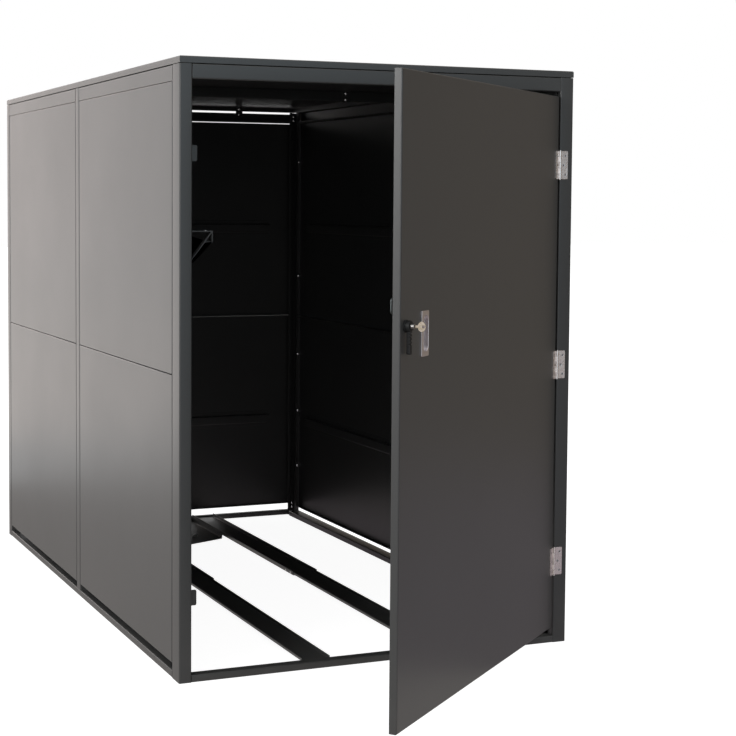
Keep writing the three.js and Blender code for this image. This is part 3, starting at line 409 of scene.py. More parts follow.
def metal_wear_group():
    """Brush lines or plating mottle, and handling marks that dull the gloss."""
    if "metal wear" in bpy.data.node_groups:
        return bpy.data.node_groups["metal wear"]
    group, given, result = effect_group(
        "metal wear",
        ("Color", "Second Color"),
        {
            "Mottle Scale": 120.0,
            "Mottle": 0.3,
            "Brush Scale": 1500.0,
            "Brush": 0.5,
            "Roughness": 0.3,
        },
    )
    vector = given.outputs["Vector"]
    stretch = group.nodes.new("ShaderNodeMapping")
    stretch.inputs["Scale"].default_value = (1, 1, 0.03)
    group.links.new(vector, stretch.inputs["Vector"])
    along = stretch.outputs["Vector"]
    lines = noise(group, along, given.outputs["Brush Scale"], detail=3.0, roughness=0.7)
    mottle = noise(group, vector, given.outputs["Mottle Scale"], detail=4.0, roughness=0.6)
    marks = noise(group, vector, scale=60.0, detail=6.0, roughness=0.7)
    marks = remapped(group, marks, span=(0.45, 0.7), target=(0.0, 1.0))
    share = remapped(group, mottle, span=(0.35, 0.68), target=(0.0, 1.0))
    share = math_node(group, "MULTIPLY", share, given.outputs["Mottle"])
    color = mixed(group, share, given.outputs["Color"], given.outputs["Second Color"])
    line_share = math_node(group, "MULTIPLY", lines, given.outputs["Brush"])
    gloss = math_node(group, "MULTIPLY_ADD", line_share, 0.2, given.outputs["Roughness"])
    gloss = math_node(group, "MULTIPLY_ADD", marks, 0.1, gloss)
    group.links.new(color, result.inputs["Color"])
    group.links.new(gloss, result.inputs["Roughness"])
    group.links.new(line_share, result.inputs["Height"])
    return group


# Finishes


def material_with(name, group, values, colors, shader_values, bump):
    """A material whose Principled shader reads one effect group, with its own values."""
    if name in bpy.data.materials:
        return bpy.data.materials[name]
    material = bpy.data.materials.new(name)
    material.use_nodes = True
    tree = material.node_tree
    shader = tree.nodes["Principled BSDF"]
    place = tree.nodes.new("ShaderNodeTexCoord")
    effect = tree.nodes.new("ShaderNodeGroup")
    effect.node_tree = group
    tree.links.new(place.outputs["Object"], effect.inputs["Vector"])
    for key, value in values.items():
        effect.inputs[key].default_value = value
    for key, color in colors.items():
        effect.inputs[key].default_value = (*color, 1)
    for key, value in shader_values.items():
        shader.inputs[key].default_value = value
    tree.links.new(effect.outputs["Color"], shader.inputs["Base Color"])
    tree.links.new(effect.outputs["Roughness"], shader.inputs["Roughness"])
    relief = tree.nodes.new("ShaderNodeBump")
    relief.inputs["Strength"].default_value, relief.inputs["Distance"].default_value = bump
    tree.links.new(effect.outputs["Height"], relief.inputs["Height"])
    tree.links.new(relief.outputs["Normal"], shader.inputs["Normal"])
    return material


def powder_coat():
    """The anthracite coat of all sheet steel, with dust low down."""
    finish = bpy.context.scene.locker_finishes
    return material_with(
        "anthracite powder coat",
        coat_grain_group(),
        {
            "Dust": 0.1,
            "Dust Height": 0.22,
            "Grain Scale": 900.0,
            "Roughness": finish.coat_roughness,
            "Cloud": 0.14,
        },
        {"Color": finish.coat_color, "Dust Color": (0.2, 0.18, 0.16)},
        {"Metallic": 0.0, "IOR": 1.5},
        bump=(finish.coat_relief, 0.0002),
    )


def black_moulding():
    """The moulded plastic of the lever and its base."""
    finish = bpy.context.scene.locker_finishes
    return material_with(
        "black moulding",
        coat_grain_group(),
        {"Dust": 0.0, "Dust Height": 0.01, "Grain Scale": 2600.0, "Roughness": 0.48, "Cloud": 0.3},
        {"Color": finish.moulding_color, "Dust Color": (0.1, 0.1, 0.1)},
        {"Metallic": 0.0, "IOR": 1.45, "Specular IOR Level": 0.3},
        bump=(0.35, 0.0001),
    )


def metal(name, color, second, mottle, brush, roughness, bump):
    """A metal. Mottle and brush are a scale and an amount, bump a strength and a distance."""
    values = {"Mottle Scale": mottle[0], "Mottle": mottle[1], "Roughness": roughness}
    values |= {"Brush Scale": brush[0], "Brush": brush[1]}
    colors = {"Color": color, "Second Color": second}
    return material_with(name, metal_wear_group(), values, colors, {"Metallic": 1.0}, bump)


def satin_stainless():
    """The pull plate's brushed steel."""
    return metal(
        "satin stainless",
        color=bpy.context.scene.locker_finishes.stainless_color,
        second=(0.56, 0.53, 0.54),
        mottle=(45.0, 0.35),
        brush=(1800.0, 0.7),
        roughness=0.24,
        bump=(0.18, 0.00008),
    )


def hinge_steel():
    """The hinges' bright steel."""
    return metal(
        "hinge stainless",
        color=bpy.context.scene.locker_finishes.hinge_color,
        second=(0.62, 0.58, 0.57),
        mottle=(70.0, 0.4),
        brush=(1500.0, 0.5),
        roughness=0.2,
        bump=(0.18, 0.00008),
    )


def screw_steel():
    """The darker steel of the hinge screws."""
    return metal(
        "screw steel",
        color=(0.36, 0.34, 0.34),
        second=(0.24, 0.22, 0.22),
        mottle=(260.0, 0.4),
        brush=(900.0, 0.1),
        roughness=0.3,
        bump=(0.1, 0.00005),
    )


def zinc_plate():
    """The plating of the nut, the spindle and the screws low down."""
    return metal(
        "zinc plate",
        color=bpy.context.scene.locker_finishes.zinc_color,
        second=(0.5, 0.52, 0.5),
        mottle=(260.0, 0.6),
        brush=(900.0, 0.25),
        roughness=0.32,
        bump=(0.15, 0.00005),
    )


def zinc_painted_highlight():
    """The zinc plating of the screws in the rear posts and roof clips, its colour lifted above the
    other zinc as a painted highlight.
    """
    return metal(
        "zinc with painted highlight",
        # Painted highlight: the same zinc as zinc_plate, lightened so these heads shine.
        color=(0.9, 0.91, 0.92),
        second=(0.75, 0.76, 0.76),
        mottle=(260.0, 0.3),
        brush=(900.0, 0.1),
        roughness=0.2,
        bump=(0.1, 0.00005),
    )


def zinc_painted_shade():
    """The latch hook's zinc plating, darkened far below the other zinc as painted shade."""
    return metal(
        "zinc with painted shade",
        # Painted shade: the hook's zinc is made nearly black so that it looks shaded.
        color=(0.085, 0.095, 0.095),
        second=(0.06, 0.065, 0.065),
        mottle=(180.0, 0.6),
        brush=(700.0, 0.2),
        roughness=0.45,
        bump=(0.15, 0.00005),
    )


def chrome_plate():
    """The lock plug's worn chrome."""
    return metal(
        "chrome plate",
        color=(0.26, 0.25, 0.24),
        second=(0.14, 0.135, 0.13),
        mottle=(150.0, 0.5),
        brush=(700.0, 0.1),
        roughness=0.28,
        bump=(0.05, 0.00003),
    )


def nickel_brass():
    """The key's nickel, rubbed down to brass."""
    return metal(
        "nickel brass",
        color=(0.33, 0.29, 0.26),
        second=(0.22, 0.18, 0.11),
        mottle=(190.0, 0.9),
        brush=(1300.0, 0.5),
        roughness=0.28,
        bump=(0.15, 0.00005),
    )


# Settings


class LockerFinishes(bpy.types.PropertyGroup):
    coat_color: FloatVectorProperty(
        name="Powder coat", description="Colour of the coated sheet steel", subtype="COLOR",
        size=3, min=0, max=1, default=(0.0415, 0.0425, 0.0425),
    )
    coat_roughness: FloatProperty(
        name="Coat roughness", description="How matt the coat is", min=0, max=1, default=0.31,
    )
    coat_relief: FloatProperty(
        name="Coat relief", description="Strength of the sprayed grain", min=0, max=1, default=0.22,
    )
    stainless_color: FloatVectorProperty(
        name="Stainless", description="Colour of the pull plate", subtype="COLOR",
        size=3, min=0, max=1, default=(0.70, 0.665, 0.68),
    )
    hinge_color: FloatVectorProperty(
        name="Hinge steel", description="Colour of the hinges", subtype="COLOR",
        size=3, min=0, max=1, default=(0.86, 0.81, 0.79),
    )
    zinc_color: FloatVectorProperty(
        name="Zinc", description="Colour of the plated nut, spindle and screws", subtype="COLOR",
        size=3, min=0, max=1, default=(0.68, 0.69, 0.7),
    )
    moulding_color: FloatVectorProperty(
        name="Moulding", description="Colour of the lever and its base", subtype="COLOR",
        size=3, min=0, max=1, default=(0.008, 0.0085, 0.009),
    )
    sheet_edge: FloatProperty(
        name="Sheet edge", description="Softening of cut sheet edges",
        subtype="DISTANCE", unit="LENGTH", min=0, max=0.001, precision=5, default=0.0003,
    )
    plate_rim: FloatProperty(
        name="Plate rim", description="Easing of the pull plate's outer edge",
        subtype="DISTANCE", unit="LENGTH", min=0.0002, max=0.0012, precision=4, default=0.001,
    )
    plate_mouth: FloatProperty(
        name="Plate mouth", description="Roll of the pull plate's mouth",
        subtype="DISTANCE", unit="LENGTH", min=0.0002, max=0.0019, precision=4, default=0.0019,
    )
    mid_post_face: FloatProperty(
        name="Mid post face", description="Width of a mid post's outer face",
        subtype="DISTANCE", unit="LENGTH", min=0.02, max=0.1, precision=4, default=0.042,
    )
    mid_post_seam: FloatProperty(
        name="Mid post seam", description="Gap beside a mid post where it parts the top rail",
        subtype="DISTANCE", unit="LENGTH", min=0.0005, max=0.005, precision=4, default=0.002,
    )
    rail_face: FloatProperty(
        name="Rail face", description="Height of a side top rail's outer face",
        subtype="DISTANCE", unit="LENGTH", min=0.02, max=0.1, precision=4, default=0.0425,
    )


class LockerFasteners(bpy.types.PropertyGroup):
    hinge_screw_radius: FloatProperty(
        name="Hinge screw", description="Radius of a hinge screw's head",
        subtype="DISTANCE", unit="LENGTH", min=0.002, max=0.006, precision=4, default=0.0038,
    )
    frame_screw_radius: FloatProperty(
        name="Frame screw", description="Radius of the heads inside the frame",
        subtype="DISTANCE", unit="LENGTH", min=0.002, max=0.008, precision=4, default=0.005,
    )
    tie_bolt_radius: FloatProperty(
        name="Tie bolt", description="Radius of the hexagon on the tie plate",
        subtype="DISTANCE", unit="LENGTH", min=0.003, max=0.012, precision=4, default=0.0075,
    )


class LockerStudio(bpy.types.PropertyGroup):
    floor_color: FloatVectorProperty(
        name="Floor", description="Colour of the studio floor", subtype="COLOR",
        size=3, min=0, max=1, default=(0.36, 0.36, 0.36),
    )
    floor_glow: FloatProperty(
        name="Floor glow", description="How far the floor is lifted to white",
        min=0, max=1, default=0.94,
    )
    daylight: FloatProperty(
        name="Daylight", description="Level of the light from all round",
        min=0, max=2, default=0.9,
    )
    key_power: FloatProperty(
        name="Key light", description="Power of the softbox on the left",
        subtype="POWER", unit="POWER", min=0, max=500, default=110,
    )
    side_card: FloatVectorProperty(
        name="Side card", description="Bright card behind the left side, seen only in reflections",
        size=3, min=0, max=5, default=(3.15, 2.8, 2.65),
    )
    right_flag: FloatVectorProperty(
        name="Right flag", description="Dark warm screen that the door mirrors",
        size=3, min=0, max=1, default=(0.26, 0.22, 0.18),
    )
    front_flag: FloatVectorProperty(
        name="Front flag", description="Cool screen that the front mirrors",
        size=3, min=0, max=2, default=(0.8, 1.02, 1.16),
    )
    far_flag: FloatVectorProperty(
        name="Far flag", description="Darker screen that the front's right end mirrors",
        size=3, min=0, max=1, default=(0.3, 0.29, 0.31),
    )
    near_mat: FloatVectorProperty(
        name="Near mat", description="Mat before and beside the locker, seen only in reflections",
        size=3, min=0, max=1, default=(0.58, 0.54, 0.52),
    )
    rear_mat: FloatVectorProperty(
        name="Rear mat", description="Bright mat behind the left side, seen only in reflections",
        size=3, min=0, max=3, default=(1.92, 1.78, 1.7),
    )
    right_mat: FloatVectorProperty(
        name="Right mat", description="Darker mat on the door's side, seen only in reflections",
        size=3, min=0, max=1, default=(0.34, 0.30, 0.32),
    )
    floor_reach: IntProperty(
        name="Floor reach", description="Half the width of the floor in metres",
        min=5, max=100, default=40,
    )


SETTINGS = {
    "locker_finishes": LockerFinishes,
    "locker_fasteners": LockerFasteners,
    "locker_studio": LockerStudio,
}


# The locker's pieces


class LOCKER_OT_frame(bpy.types.Operator):
    """Finishes the frame, with its mid posts running up through the side top rails"""

    bl_idname = "locker.frame"
    bl_label = "Frame"

    def execute(self, context):
        endings = ("_post", "_rail", "_lintel", "_sill")
        names = [name for name in frame["nodes"] if name.endswith(endings)]
        finishes = context.scene.locker_finishes
        coat, edge = powder_coat(), finishes.sheet_edge
        reach = finishes.mid_post_face / 2 + finishes.mid_post_seam
        for side, inward in SIDES:
            post, rail = f"{side}_mid_post", f"{side}_top_rail"
            outer = outer_face(post, inward)
            middle = (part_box(post)[0][1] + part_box(post)[1][1]) / 2
            upright, beam = sheet_mesh(post), sheet_mesh(rail)
            raise_face(upright, outer + inward * RAISED_SHEET, finishes.rail_face)
            open_window(beam, outer + inward * WINDOW_DEPTH, middle - reach, middle + reach)
            for bm, node in ((upright, post), (beam, rail)):
                if not all(line.is_manifold for line in bm.edges):
                    raise RuntimeError(f"the visible sheet of {node} is not closed")
                add_piece(bm, f"{node}_sheet", "cabinet", coat, (node,), edge)
                names.remove(node)
        dress_coated(names, "sheet")
        return {"FINISHED"}


class LOCKER_OT_walls(bpy.types.Operator):
    """Finishes the tray panels of the sides and rear"""

    bl_idname = "locker.walls"
    bl_label = "Wall panels"

    def execute(self, context):
        dress_coated([name for name in frame["nodes"] if name.endswith("_panel")], "tray")
        return {"FINISHED"}


class LOCKER_OT_roof(bpy.types.Operator):
    """Finishes the roof tray, its cross beam and its clips"""

    bl_idname = "locker.roof"
    bl_label = "Roof"

    def execute(self, context):
        dress_coated([name for name in frame["nodes"] if "roof" in name], "sheet")
        return {"FINISHED"}


class LOCKER_OT_wheel_channels(bpy.types.Operator):
    """Finishes the wheel channels and the plate that ties them"""

    bl_idname = "locker.wheel_channels"
    bl_label = "Wheel channels"

    def execute(self, context):
        dress_coated([name for name in frame["nodes"] if "channel" in name], "sheet")
        return {"FINISHED"}


class LOCKER_OT_inner_fittings(bpy.types.Operator):
    """Finishes the corner console and the door stops"""

    bl_idname = "locker.inner_fittings"
    bl_label = "Inner fittings"

    def execute(self, context):
        dress_coated(["corner_console", "upper_door_stop", "lower_door_stop"], "steel")
        return {"FINISHED"}


class LOCKER_OT_door(bpy.types.Operator):
    """Finishes the door leaf"""

    bl_idname = "locker.door"
    bl_label = "Door"

    def execute(self, context):
        dress_coated(["door_leaf"], "sheet", "door")
        return {"FINISHED"}


LEAF_EDGE = 0.0002

# Screws in a hinge leaf: the columns' distance from the leaf's outer edge, the outer screws'
# height over the middle one, and how far behind the hinge line their seats lie.
OUTER_COLUMN, INNER_COLUMN = 0.008, 0.014
OUTER_RISE = 0.027
FRAME_LEAF_SEAT, DOOR_LEAF_SEAT = 0.0032, 0.0029
HINGE_SCREW_RISE = 0.0012


class LOCKER_OT_hinges(bpy.types.Operator):
    """Finishes the butt hinges and sets their screws"""

    bl_idname = "locker.hinges"
    bl_label = "Hinges"

    def execute(self, context):
        steel, screw = hinge_steel(), screw_steel()
        radius = context.scene.locker_fasteners.hinge_screw_radius
        rest = door_placement()
        line = Vector(DOOR_HINGE["pos_m"])
        for level in ("upper", "middle", "lower"):
            frame_nodes = [f"{level}_hinge_frame_leaf", f"{level}_hinge_pin"]
            dress(frame_nodes, "cabinet", steel, "steel", LEAF_EDGE)
            dress([f"{level}_hinge_door_leaf"], "door", steel, "steel", LEAF_EDGE)
            low, high = node_corners(frame_nodes[0])
            middle = (low.z + high.z) / 2
            outer, inner = high.x - OUTER_COLUMN, high.x - INNER_COLUMN
            places = [(outer, middle + OUTER_RISE), (outer, middle - OUTER_RISE), (inner, middle)]
            seats = [(Vector((x, line.y + FRAME_LEAF_SEAT, z)), FORWARD) for x, z in places]
            heads = scatter(screw_head(radius, HINGE_SCREW_RISE), seats)
            add_piece(heads, f"{level}_frame_leaf_screws", "cabinet", screw)
            out = rest.to_3x3() @ Vector(FORWARD)
            seats = [(rest @ Vector((line.x - x, DOOR_LEAF_SEAT, z)), out) for x, z in places]
            heads = scatter(screw_head(radius, HINGE_SCREW_RISE), seats)
            add_piece(heads, f"{level}_door_leaf_screws", "door", screw)
        return {"FINISHED"}


# Cosines between the door's face and the faces that count as looking with it, or across it.
WITH_THE_DOOR = 0.99
ACROSS_THE_DOOR = 0.1
ROLL_SEGMENTS = 3


class LOCKER_OT_pull_plate(bpy.types.Operator):
    """Finishes the recessed pull plate, with its rim eased and its mouth rolled over"""

    bl_idname = "locker.pull_plate"
    bl_label = "Pull plate"

    def execute(self, context):
        bm = sheet_mesh("pull_plate")
        low, high = node_corners("pull_plate")
        centre = (low + high) / 2
        out = door_placement().to_3x3() @ Vector(FORWARD)
        rim, mouth = [], []
        for edge in bm.edges:
            turns = [(face, face.normal.dot(out)) for face in edge.link_faces]
            front = [face for face, turn in turns if turn > WITH_THE_DOOR]
            side = [face for face, turn in turns if abs(turn) < ACROSS_THE_DOOR]
            if len(front) != 1 or len(side) != 1:
                continue
            middle = (edge.verts[0].co + edge.verts[1].co) / 2
            (rim if side[0].normal.dot(middle - centre) > 0 else mouth).append(edge)
        if not rim or not mouth:
            raise RuntimeError("the pull plate's rim or mouth wasn't found")
        finish = context.scene.locker_finishes
        for edges, width in ((rim, finish.plate_rim), (mouth, finish.plate_mouth)):
            bmesh.ops.bevel(
                bm,
                geom=edges,
                offset=width,
                offset_type="OFFSET",
                affect="EDGES",
                segments=ROLL_SEGMENTS,
                profile=0.5,
                material=-1,
                clamp_overlap=True,
            )
        steel = satin_stainless()
        add_piece(bm, "pull_plate_pressing", "door", steel, ("pull_plate",))
        return {"FINISHED"}


# Each node of the lever and the lock: its body, finish, slot and suffix, and how far its edges
# are softened.
LEVER_NODES = {
    "lever_base": ("door", black_moulding, "black_moulding", "moulding", 0.0003),
    "lever_nut": ("door", zinc_plate, "zinced_steel", "steel", 0.0004),
    "lever_handle": ("lever", black_moulding, "black_moulding", "moulding", 0.0006),
    "spindle": ("lever", zinc_plate, "zinced_steel", "steel", 0.0003),
    # The hook's zinc is darkened as painted shade.
    "latch_hook": ("lever", zinc_painted_shade, "zinced_steel", "steel", 0.0003),
}
LOCK_NODES = {
    "lock_plug": ("key", chrome_plate, "chrome", "plug", 0.0003),
    "key": ("key", nickel_brass, "nickel_brass", "blank", 0.0003),
}


def dress_each(table):
    """Dresses the nodes of a table, each with its own finish."""
    for node, (body, finish, slot, suffix, softened) in table.items():
        dress([node], body, finish(), suffix, softened)


class LOCKER_OT_lever(bpy.types.Operator):
    """Finishes the lever, its base and nut, the spindle and the latch hook"""

    bl_idname = "locker.lever"
    bl_label = "Lever"

    def execute(self, context):
        dress_each(LEVER_NODES)
        return {"FINISHED"}


class LOCKER_OT_lock(bpy.types.Operator):
    """Finishes the lock plug and the key"""

    bl_idname = "locker.lock"
    bl_label = "Lock and key"

    def execute(self, context):
        dress_each(LOCK_NODES)
        return {"FINISHED"}


# Screws in the rear corners: heights, distances from the cabinet's side, and sheet thicknesses.
TRAY_SCREW_LEVELS = (1.434, 0.977, 0.660, 0.430, 0.204)
TRAY_SCREW_INSET = 0.0085
TRAY_SHEET = 0.0012
POST_SCREW_LEVELS = (1.616, 1.601, 0.043, 0.028)
POST_SCREW_INSET = 0.013
POST_SHEET = 0.0015

# Screws in the roof clips: the way each row's heads face along Y, and their drop from the top.
CLIP_ROWS = {"middle": -1, "rear": -1, "front": 1}
CLIP_SCREW_DROPS = (0.0085, 0.0295)
CLIP_SHEET = 0.002

# Screws in the console: their distance from its left end, and places across its strip.
CONSOLE_SCREW_REACH = 0.084
CONSOLE_STRIP = 0.02
CONSOLE_SCREW_SHARES = (0.28, 0.72)

# Screws in the channels' flanks: distances from the rear half's front end, and height.
CHANNEL_SCREW_DEPTHS = (0.02, 0.062)
CHANNEL_SCREW_HEIGHT = 0.0075

# The bolt's place on the tie plate, from the plate's left, rear and lower faces.
TIE_BOLT_PLACE = (0.1985, 0.283, 0.002)
TIE_BOLT_RISE = 0.0065
TIE_BOLT_CREASE = 30


def rear_corner_seats():
    """Seats on the side panels' rear returns and on the rear posts."""
    seats = []
    for side, inward in SIDES:
        outer = outer_face(f"{side}_rear_post", inward)
        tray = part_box(f"{side}_rear_upper_panel")[1][1] - TRAY_SHEET
        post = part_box(f"{side}_rear_post")[1][1] - POST_SHEET
        x = outer + inward * TRAY_SCREW_INSET
        seats += [(Vector((x, tray, z)), FORWARD) for z in TRAY_SCREW_LEVELS]
        x = outer + inward * POST_SCREW_INSET
        seats += [(Vector((x, post, z)), FORWARD) for z in POST_SCREW_LEVELS]
    return seats


def roof_clip_seats():
    """Two seats on each roof clip."""
    seats = []
    for row, towards in CLIP_ROWS.items():
        for side, _ in SIDES:
            low, high = node_corners(f"{row}_{side}_roof_clip")
            y = high.y - CLIP_SHEET if towards < 0 else low.y + CLIP_SHEET
            x = (low.x + high.x) / 2
            for drop in CLIP_SCREW_DROPS:
                seats.append((Vector((x, y, high.z - drop)), (0, towards, 0)))
    return seats


def console_seats():
    """Two seats on top of the corner console."""
    low, high = node_corners("corner_console")
    x = low.x + CONSOLE_SCREW_REACH
    return [
        (Vector((x, low.y + share * CONSOLE_STRIP, high.z)), (0, 0, 1))
        for share in CONSOLE_SCREW_SHARES
    ]


def channel_seats():
    """Seats on both flanks of each wheel channel, where its halves nest."""
    seats = []
    for side, _ in SIDES:
        low, high = node_corners(f"{side}_wheel_channel_rear")
        z = low.z + CHANNEL_SCREW_HEIGHT
        for depth in CHANNEL_SCREW_DEPTHS:
            seats.append((Vector((low.x, low.y + depth, z)), (-1, 0, 0)))
            seats.append((Vector((high.x, low.y + depth, z)), (1, 0, 0)))
    return seats


# Each row of screws: its seats, the heads' share of the frame screw's radius, their rise, and
# their finish.
SCREW_ROWS = {
    # The rear post and roof clip screws take zinc lightened as a painted highlight.
    "rear_post_screws": (rear_corner_seats, 0.95, 0.002, zinc_painted_highlight),
    "roof_clip_screws": (roof_clip_seats, 1.0, 0.0022, zinc_painted_highlight),
    "console_screws": (console_seats, 0.8, 0.002, zinc_plate),
    "channel_screws": (channel_seats, 1.0, 0.0024, zinc_plate),
}


class LOCKER_OT_frame_screws(bpy.types.Operator):
    """Sets the screws of the rear posts, roof clips, console and wheel channels, and a bolt"""

    bl_idname = "locker.frame_screws"
    bl_label = "Frame screws"

    def execute(self, context):
        sizes = context.scene.locker_fasteners
        for name, (seats, share, rise, finish) in SCREW_ROWS.items():
            heads = scatter(screw_head(sizes.frame_screw_radius * share, rise), seats())
            add_piece(heads, name, "cabinet", finish())
        low, high = node_corners("wheel_channel_tie")
        along, back, lift = TIE_BOLT_PLACE
        seat = (Vector((low.x + along, high.y - back, low.z + lift)), (0, 0, 1))
        bolt = scatter(hex_head(sizes.tie_bolt_radius, TIE_BOLT_RISE), [seat])
        zinc = zinc_plate()
        add_piece(bolt, "tie_plate_bolt", "cabinet", zinc, crease=TIE_BOLT_CREASE)
        return {"FINISHED"}


# Studio

# The photograph's camera, worked out from the cabinet's corners: its place, its yaw, pitch and
# roll in degrees, and its focal length and optical centre in pixels.
PHOTO_SIDE = 736
CAMERA_PLACE = (-1.9068, -4.0654, 1.2734)
CAMERA_ANGLES = (22.3134, -3.4798, 0.3197)
FOCAL_LENGTH = 1633.36
OPTICAL_CENTRE = (302.03, 301.29)
SENSOR_WIDTH = 36  # millimetres
CAMERA_REACH = 200

# The softbox: where it stands, what it points at, and its width and height.
SOFTBOX_PLACE = (-4.6, -1.9, 2.55)
SOFTBOX_AIM = (-0.3, 0.0, 1.0)
SOFTBOX_SIZE = (2.6, 2.2)

# Screens seen only in reflections: both ends of each one's foot, and its height.
SCREENS = {
    "right_flag": ((3.4, -5), (3.4, 9), 6),
    "front_flag": ((-1.5, -8), (4.2, -8), 6),
    "far_flag": ((4.2, -8), (9, -8), 6),
    "side_card": ((-5.7, 24), (-0.6, 24), 9),
}

# Mats seen only in reflections: two opposite corners of each one.
MATS = {
    "near_mat": ((-5, -8), (0.3, 3.2)),
    "right_mat": ((0.3, -8), (3.4, 9)),
    "rear_mat": ((-5, 4.5), (-0.6, 24)),
}
FLOOR_LEVEL = -0.0006
MAT_LEVEL = 0.001


def add_camera():
    """A camera where the photograph was taken from, with its lens and framing."""
    yaw, pitch, roll = (math.radians(angle) for angle in CAMERA_ANGLES)
    view = Vector(
        (math.sin(yaw) * math.cos(pitch), math.cos(yaw) * math.cos(pitch), math.sin(pitch))
    )
    level = Vector((math.cos(yaw), -math.sin(yaw), 0))
    upright = level.cross(view)
    right = level * math.cos(roll) + upright * math.sin(roll)
    up = upright * math.cos(roll) - level * math.sin(roll)
    data = bpy.data.cameras.new("photo camera")
    data.sensor_width = SENSOR_WIDTH
    data.lens = FOCAL_LENGTH / PHOTO_SIDE * data.sensor_width
    data.shift_x = 0.5 - OPTICAL_CENTRE[0] / PHOTO_SIDE
    data.shift_y = OPTICAL_CENTRE[1] / PHOTO_SIDE - 0.5
    data.clip_end = CAMERA_REACH
    camera = bpy.data.objects.new("photo camera", data)
    columns = Matrix((right, up, -view)).transposed().to_4x4()
    camera.matrix_world = Matrix.Translation(CAMERA_PLACE) @ columns
    bpy.context.scene.collection.objects.link(camera)
    bpy.context.scene.camera = camera


def stage_plane(name, corners, material):
    """A flat piece of the studio, which isn't part of the locker."""
    bm = bmesh.new()
    bmesh.ops.contextual_create(bm, geom=[bm.verts.new(corner) for corner in corners])
    mesh = bpy.data.meshes.new(name)
    bm.to_mesh(mesh)
    bm.free()
    mesh.materials.append(material)
    plane = bpy.data.objects.new(name, mesh)
    bpy.context.scene.collection.objects.link(plane)
    return plane


def emptied_material(name):
    """A new material, its nodes cleared, with its output's surface socket."""
    material = bpy.data.materials.new(name)
    material.use_nodes = True
    tree = material.node_tree
    tree.nodes.clear()
    return material, tree, tree.nodes.new("ShaderNodeOutputMaterial").inputs["Surface"]


def looked_at(tree):
    """1 where something is seen, mirrored or seen through glass, and 0 where it only lights."""
    path = tree.nodes.new("ShaderNodeLightPath")
    seen = math_node(tree, "MAXIMUM", path.outputs["Is Camera Ray"], path.outputs["Is Glossy Ray"])
    return math_node(tree, "MAXIMUM", seen, path.outputs["Is Transmission Ray"])


def floor_material(studio):
    """A pale floor that is lifted to white where it is seen or mirrored, and keeps its shadows."""
    material, tree, surface = emptied_material("studio floor")
    matt = tree.nodes.new("ShaderNodeBsdfDiffuse")
    matt.inputs["Color"].default_value = (*studio.floor_color, 1)
    glow = tree.nodes.new("ShaderNodeEmission")
    level = math_node(tree, "MULTIPLY", looked_at(tree), studio.floor_glow)
    tree.links.new(level, glow.inputs["Strength"])
    both = tree.nodes.new("ShaderNodeAddShader")
    tree.links.new(matt.outputs["BSDF"], both.inputs[0])
    tree.links.new(glow.outputs["Emission"], both.inputs[1])
    tree.links.new(both.outputs["Shader"], surface)
    return material


def mirrored_card(name, corners, level):
    """A glowing card that shows only in reflections."""
    material, tree, surface = emptied_material(name)
    glow = tree.nodes.new("ShaderNodeEmission")
    glow.inputs["Color"].default_value = (*level, 1)
    tree.links.new(glow.outputs["Emission"], surface)
    card = stage_plane(name, corners, material)
    card.visible_camera = False
    card.visible_diffuse = False
    card.visible_transmission = False
    card.visible_shadow = False


def rectangle(near, far, height):
    """The corners of a level rectangle between two of them."""
    (x0, y0), (x1, y1) = near, far
    return [(x0, y0, height), (x1, y0, height), (x1, y1, height), (x0, y1, height)]


def add_daylight(scene, strength):
    """White all round, which lights the locker at a level of its own."""
    world = bpy.data.worlds.new("studio daylight")
    scene.world = world
    world.use_nodes = True
    tree = world.node_tree
    background = tree.nodes["Background"]
    level = remapped(tree, looked_at(tree), span=(0.0, 1.0), target=(strength, 1.0))
    tree.links.new(level, background.inputs["Strength"])
    background.inputs["Color"].default_value = (1, 1, 1, 1)


def add_softbox(scene, power):
    """The soft light on the left."""
    data = bpy.data.lights.new("softbox", "AREA")
    data.shape = "RECTANGLE"
    data.size, data.size_y = SOFTBOX_SIZE
    data.energy = power
    softbox = bpy.data.objects.new("softbox", data)
    place = Vector(SOFTBOX_PLACE)
    aim = Vector(SOFTBOX_AIM) - place
    turn = aim.to_track_quat("-Z", "Y").to_matrix().to_4x4()
    softbox.matrix_world = Matrix.Translation(place) @ turn
    scene.collection.objects.link(softbox)


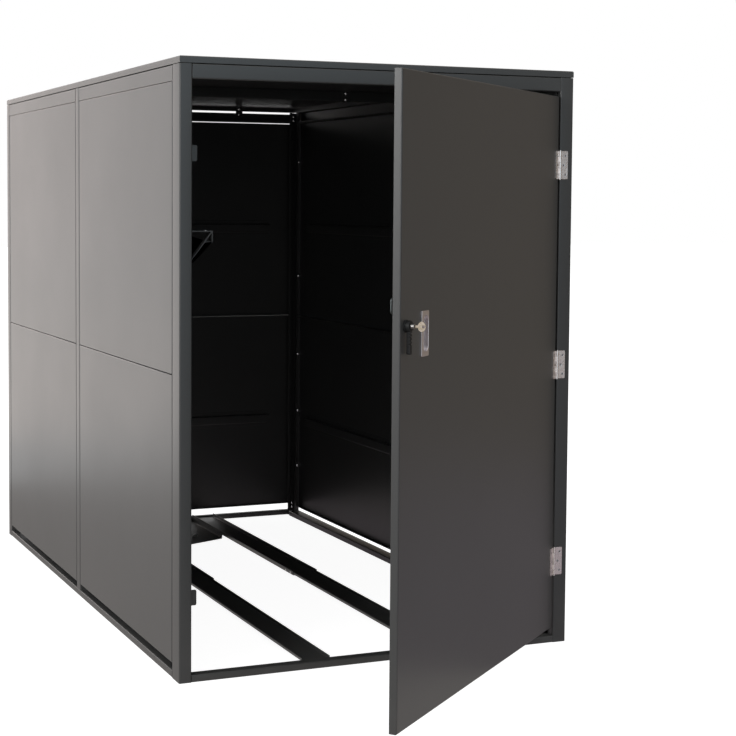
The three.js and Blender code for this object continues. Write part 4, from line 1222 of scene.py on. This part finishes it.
class LOCKER_OT_stage(bpy.types.Operator):
    """Sets the camera, the pale floor, the mirrored screens and mats, and the lights"""

    bl_idname = "locker.stage"
    bl_label = "Studio"

    def execute(self, context):
        studio = context.scene.locker_studio
        add_camera()
        reach = studio.floor_reach
        corners = rectangle((-reach, -reach), (reach, reach), FLOOR_LEVEL)
        stage_plane("studio_floor", corners, floor_material(studio))
        for name, ((x0, y0), (x1, y1), top) in SCREENS.items():
            corners = [(x0, y0, 0), (x1, y1, 0), (x1, y1, top), (x0, y0, top)]
            mirrored_card(name, corners, getattr(studio, name))
        for name, (near, far) in MATS.items():
            mirrored_card(name, rectangle(near, far, MAT_LEVEL), getattr(studio, name))
        add_daylight(context.scene, studio.daylight)
        add_softbox(context.scene, studio.key_power)
        context.scene.view_settings.view_transform = "Standard"
        return {"FINISHED"}


PIECES = (
    LOCKER_OT_stage,
    LOCKER_OT_frame,
    LOCKER_OT_walls,
    LOCKER_OT_roof,
    LOCKER_OT_wheel_channels,
    LOCKER_OT_inner_fittings,
    LOCKER_OT_door,
    LOCKER_OT_hinges,
    LOCKER_OT_pull_plate,
    LOCKER_OT_lever,
    LOCKER_OT_lock,
    LOCKER_OT_frame_screws,
)


class LOCKER_PT_panel(bpy.types.Panel):
    """Lists the locker's pieces and its studio"""

    bl_idname = "LOCKER_PT_panel"
    bl_label = "Bicycle Locker"
    bl_space_type = "VIEW_3D"
    bl_region_type = "UI"
    bl_category = "Locker"

    def draw(self, context):
        for settings in SETTINGS:
            group = getattr(context.scene, settings)
            column = self.layout.column(align=True)
            for name in group.bl_rna.properties.keys():
                if name not in ("rna_type", "name"):
                    column.prop(group, name)
        for piece in PIECES:
            self.layout.operator(piece.bl_idname)


def register():
    for group in SETTINGS.values():
        bpy.utils.register_class(group)
    for name, group in SETTINGS.items():
        setattr(bpy.types.Scene, name, PointerProperty(type=group))
    for piece in PIECES:
        bpy.utils.register_class(piece)
    bpy.utils.register_class(LOCKER_PT_panel)


def unregister():
    bpy.utils.unregister_class(LOCKER_PT_panel)
    for piece in reversed(PIECES):
        bpy.utils.unregister_class(piece)
    for name, group in SETTINGS.items():
        delattr(bpy.types.Scene, name)
        bpy.utils.unregister_class(group)


def main():
    register()
    for piece in PIECES:
        category, name = piece.bl_idname.split(".")
        getattr(getattr(bpy.ops, category), name)()


if __name__ == "__main__":
    main()
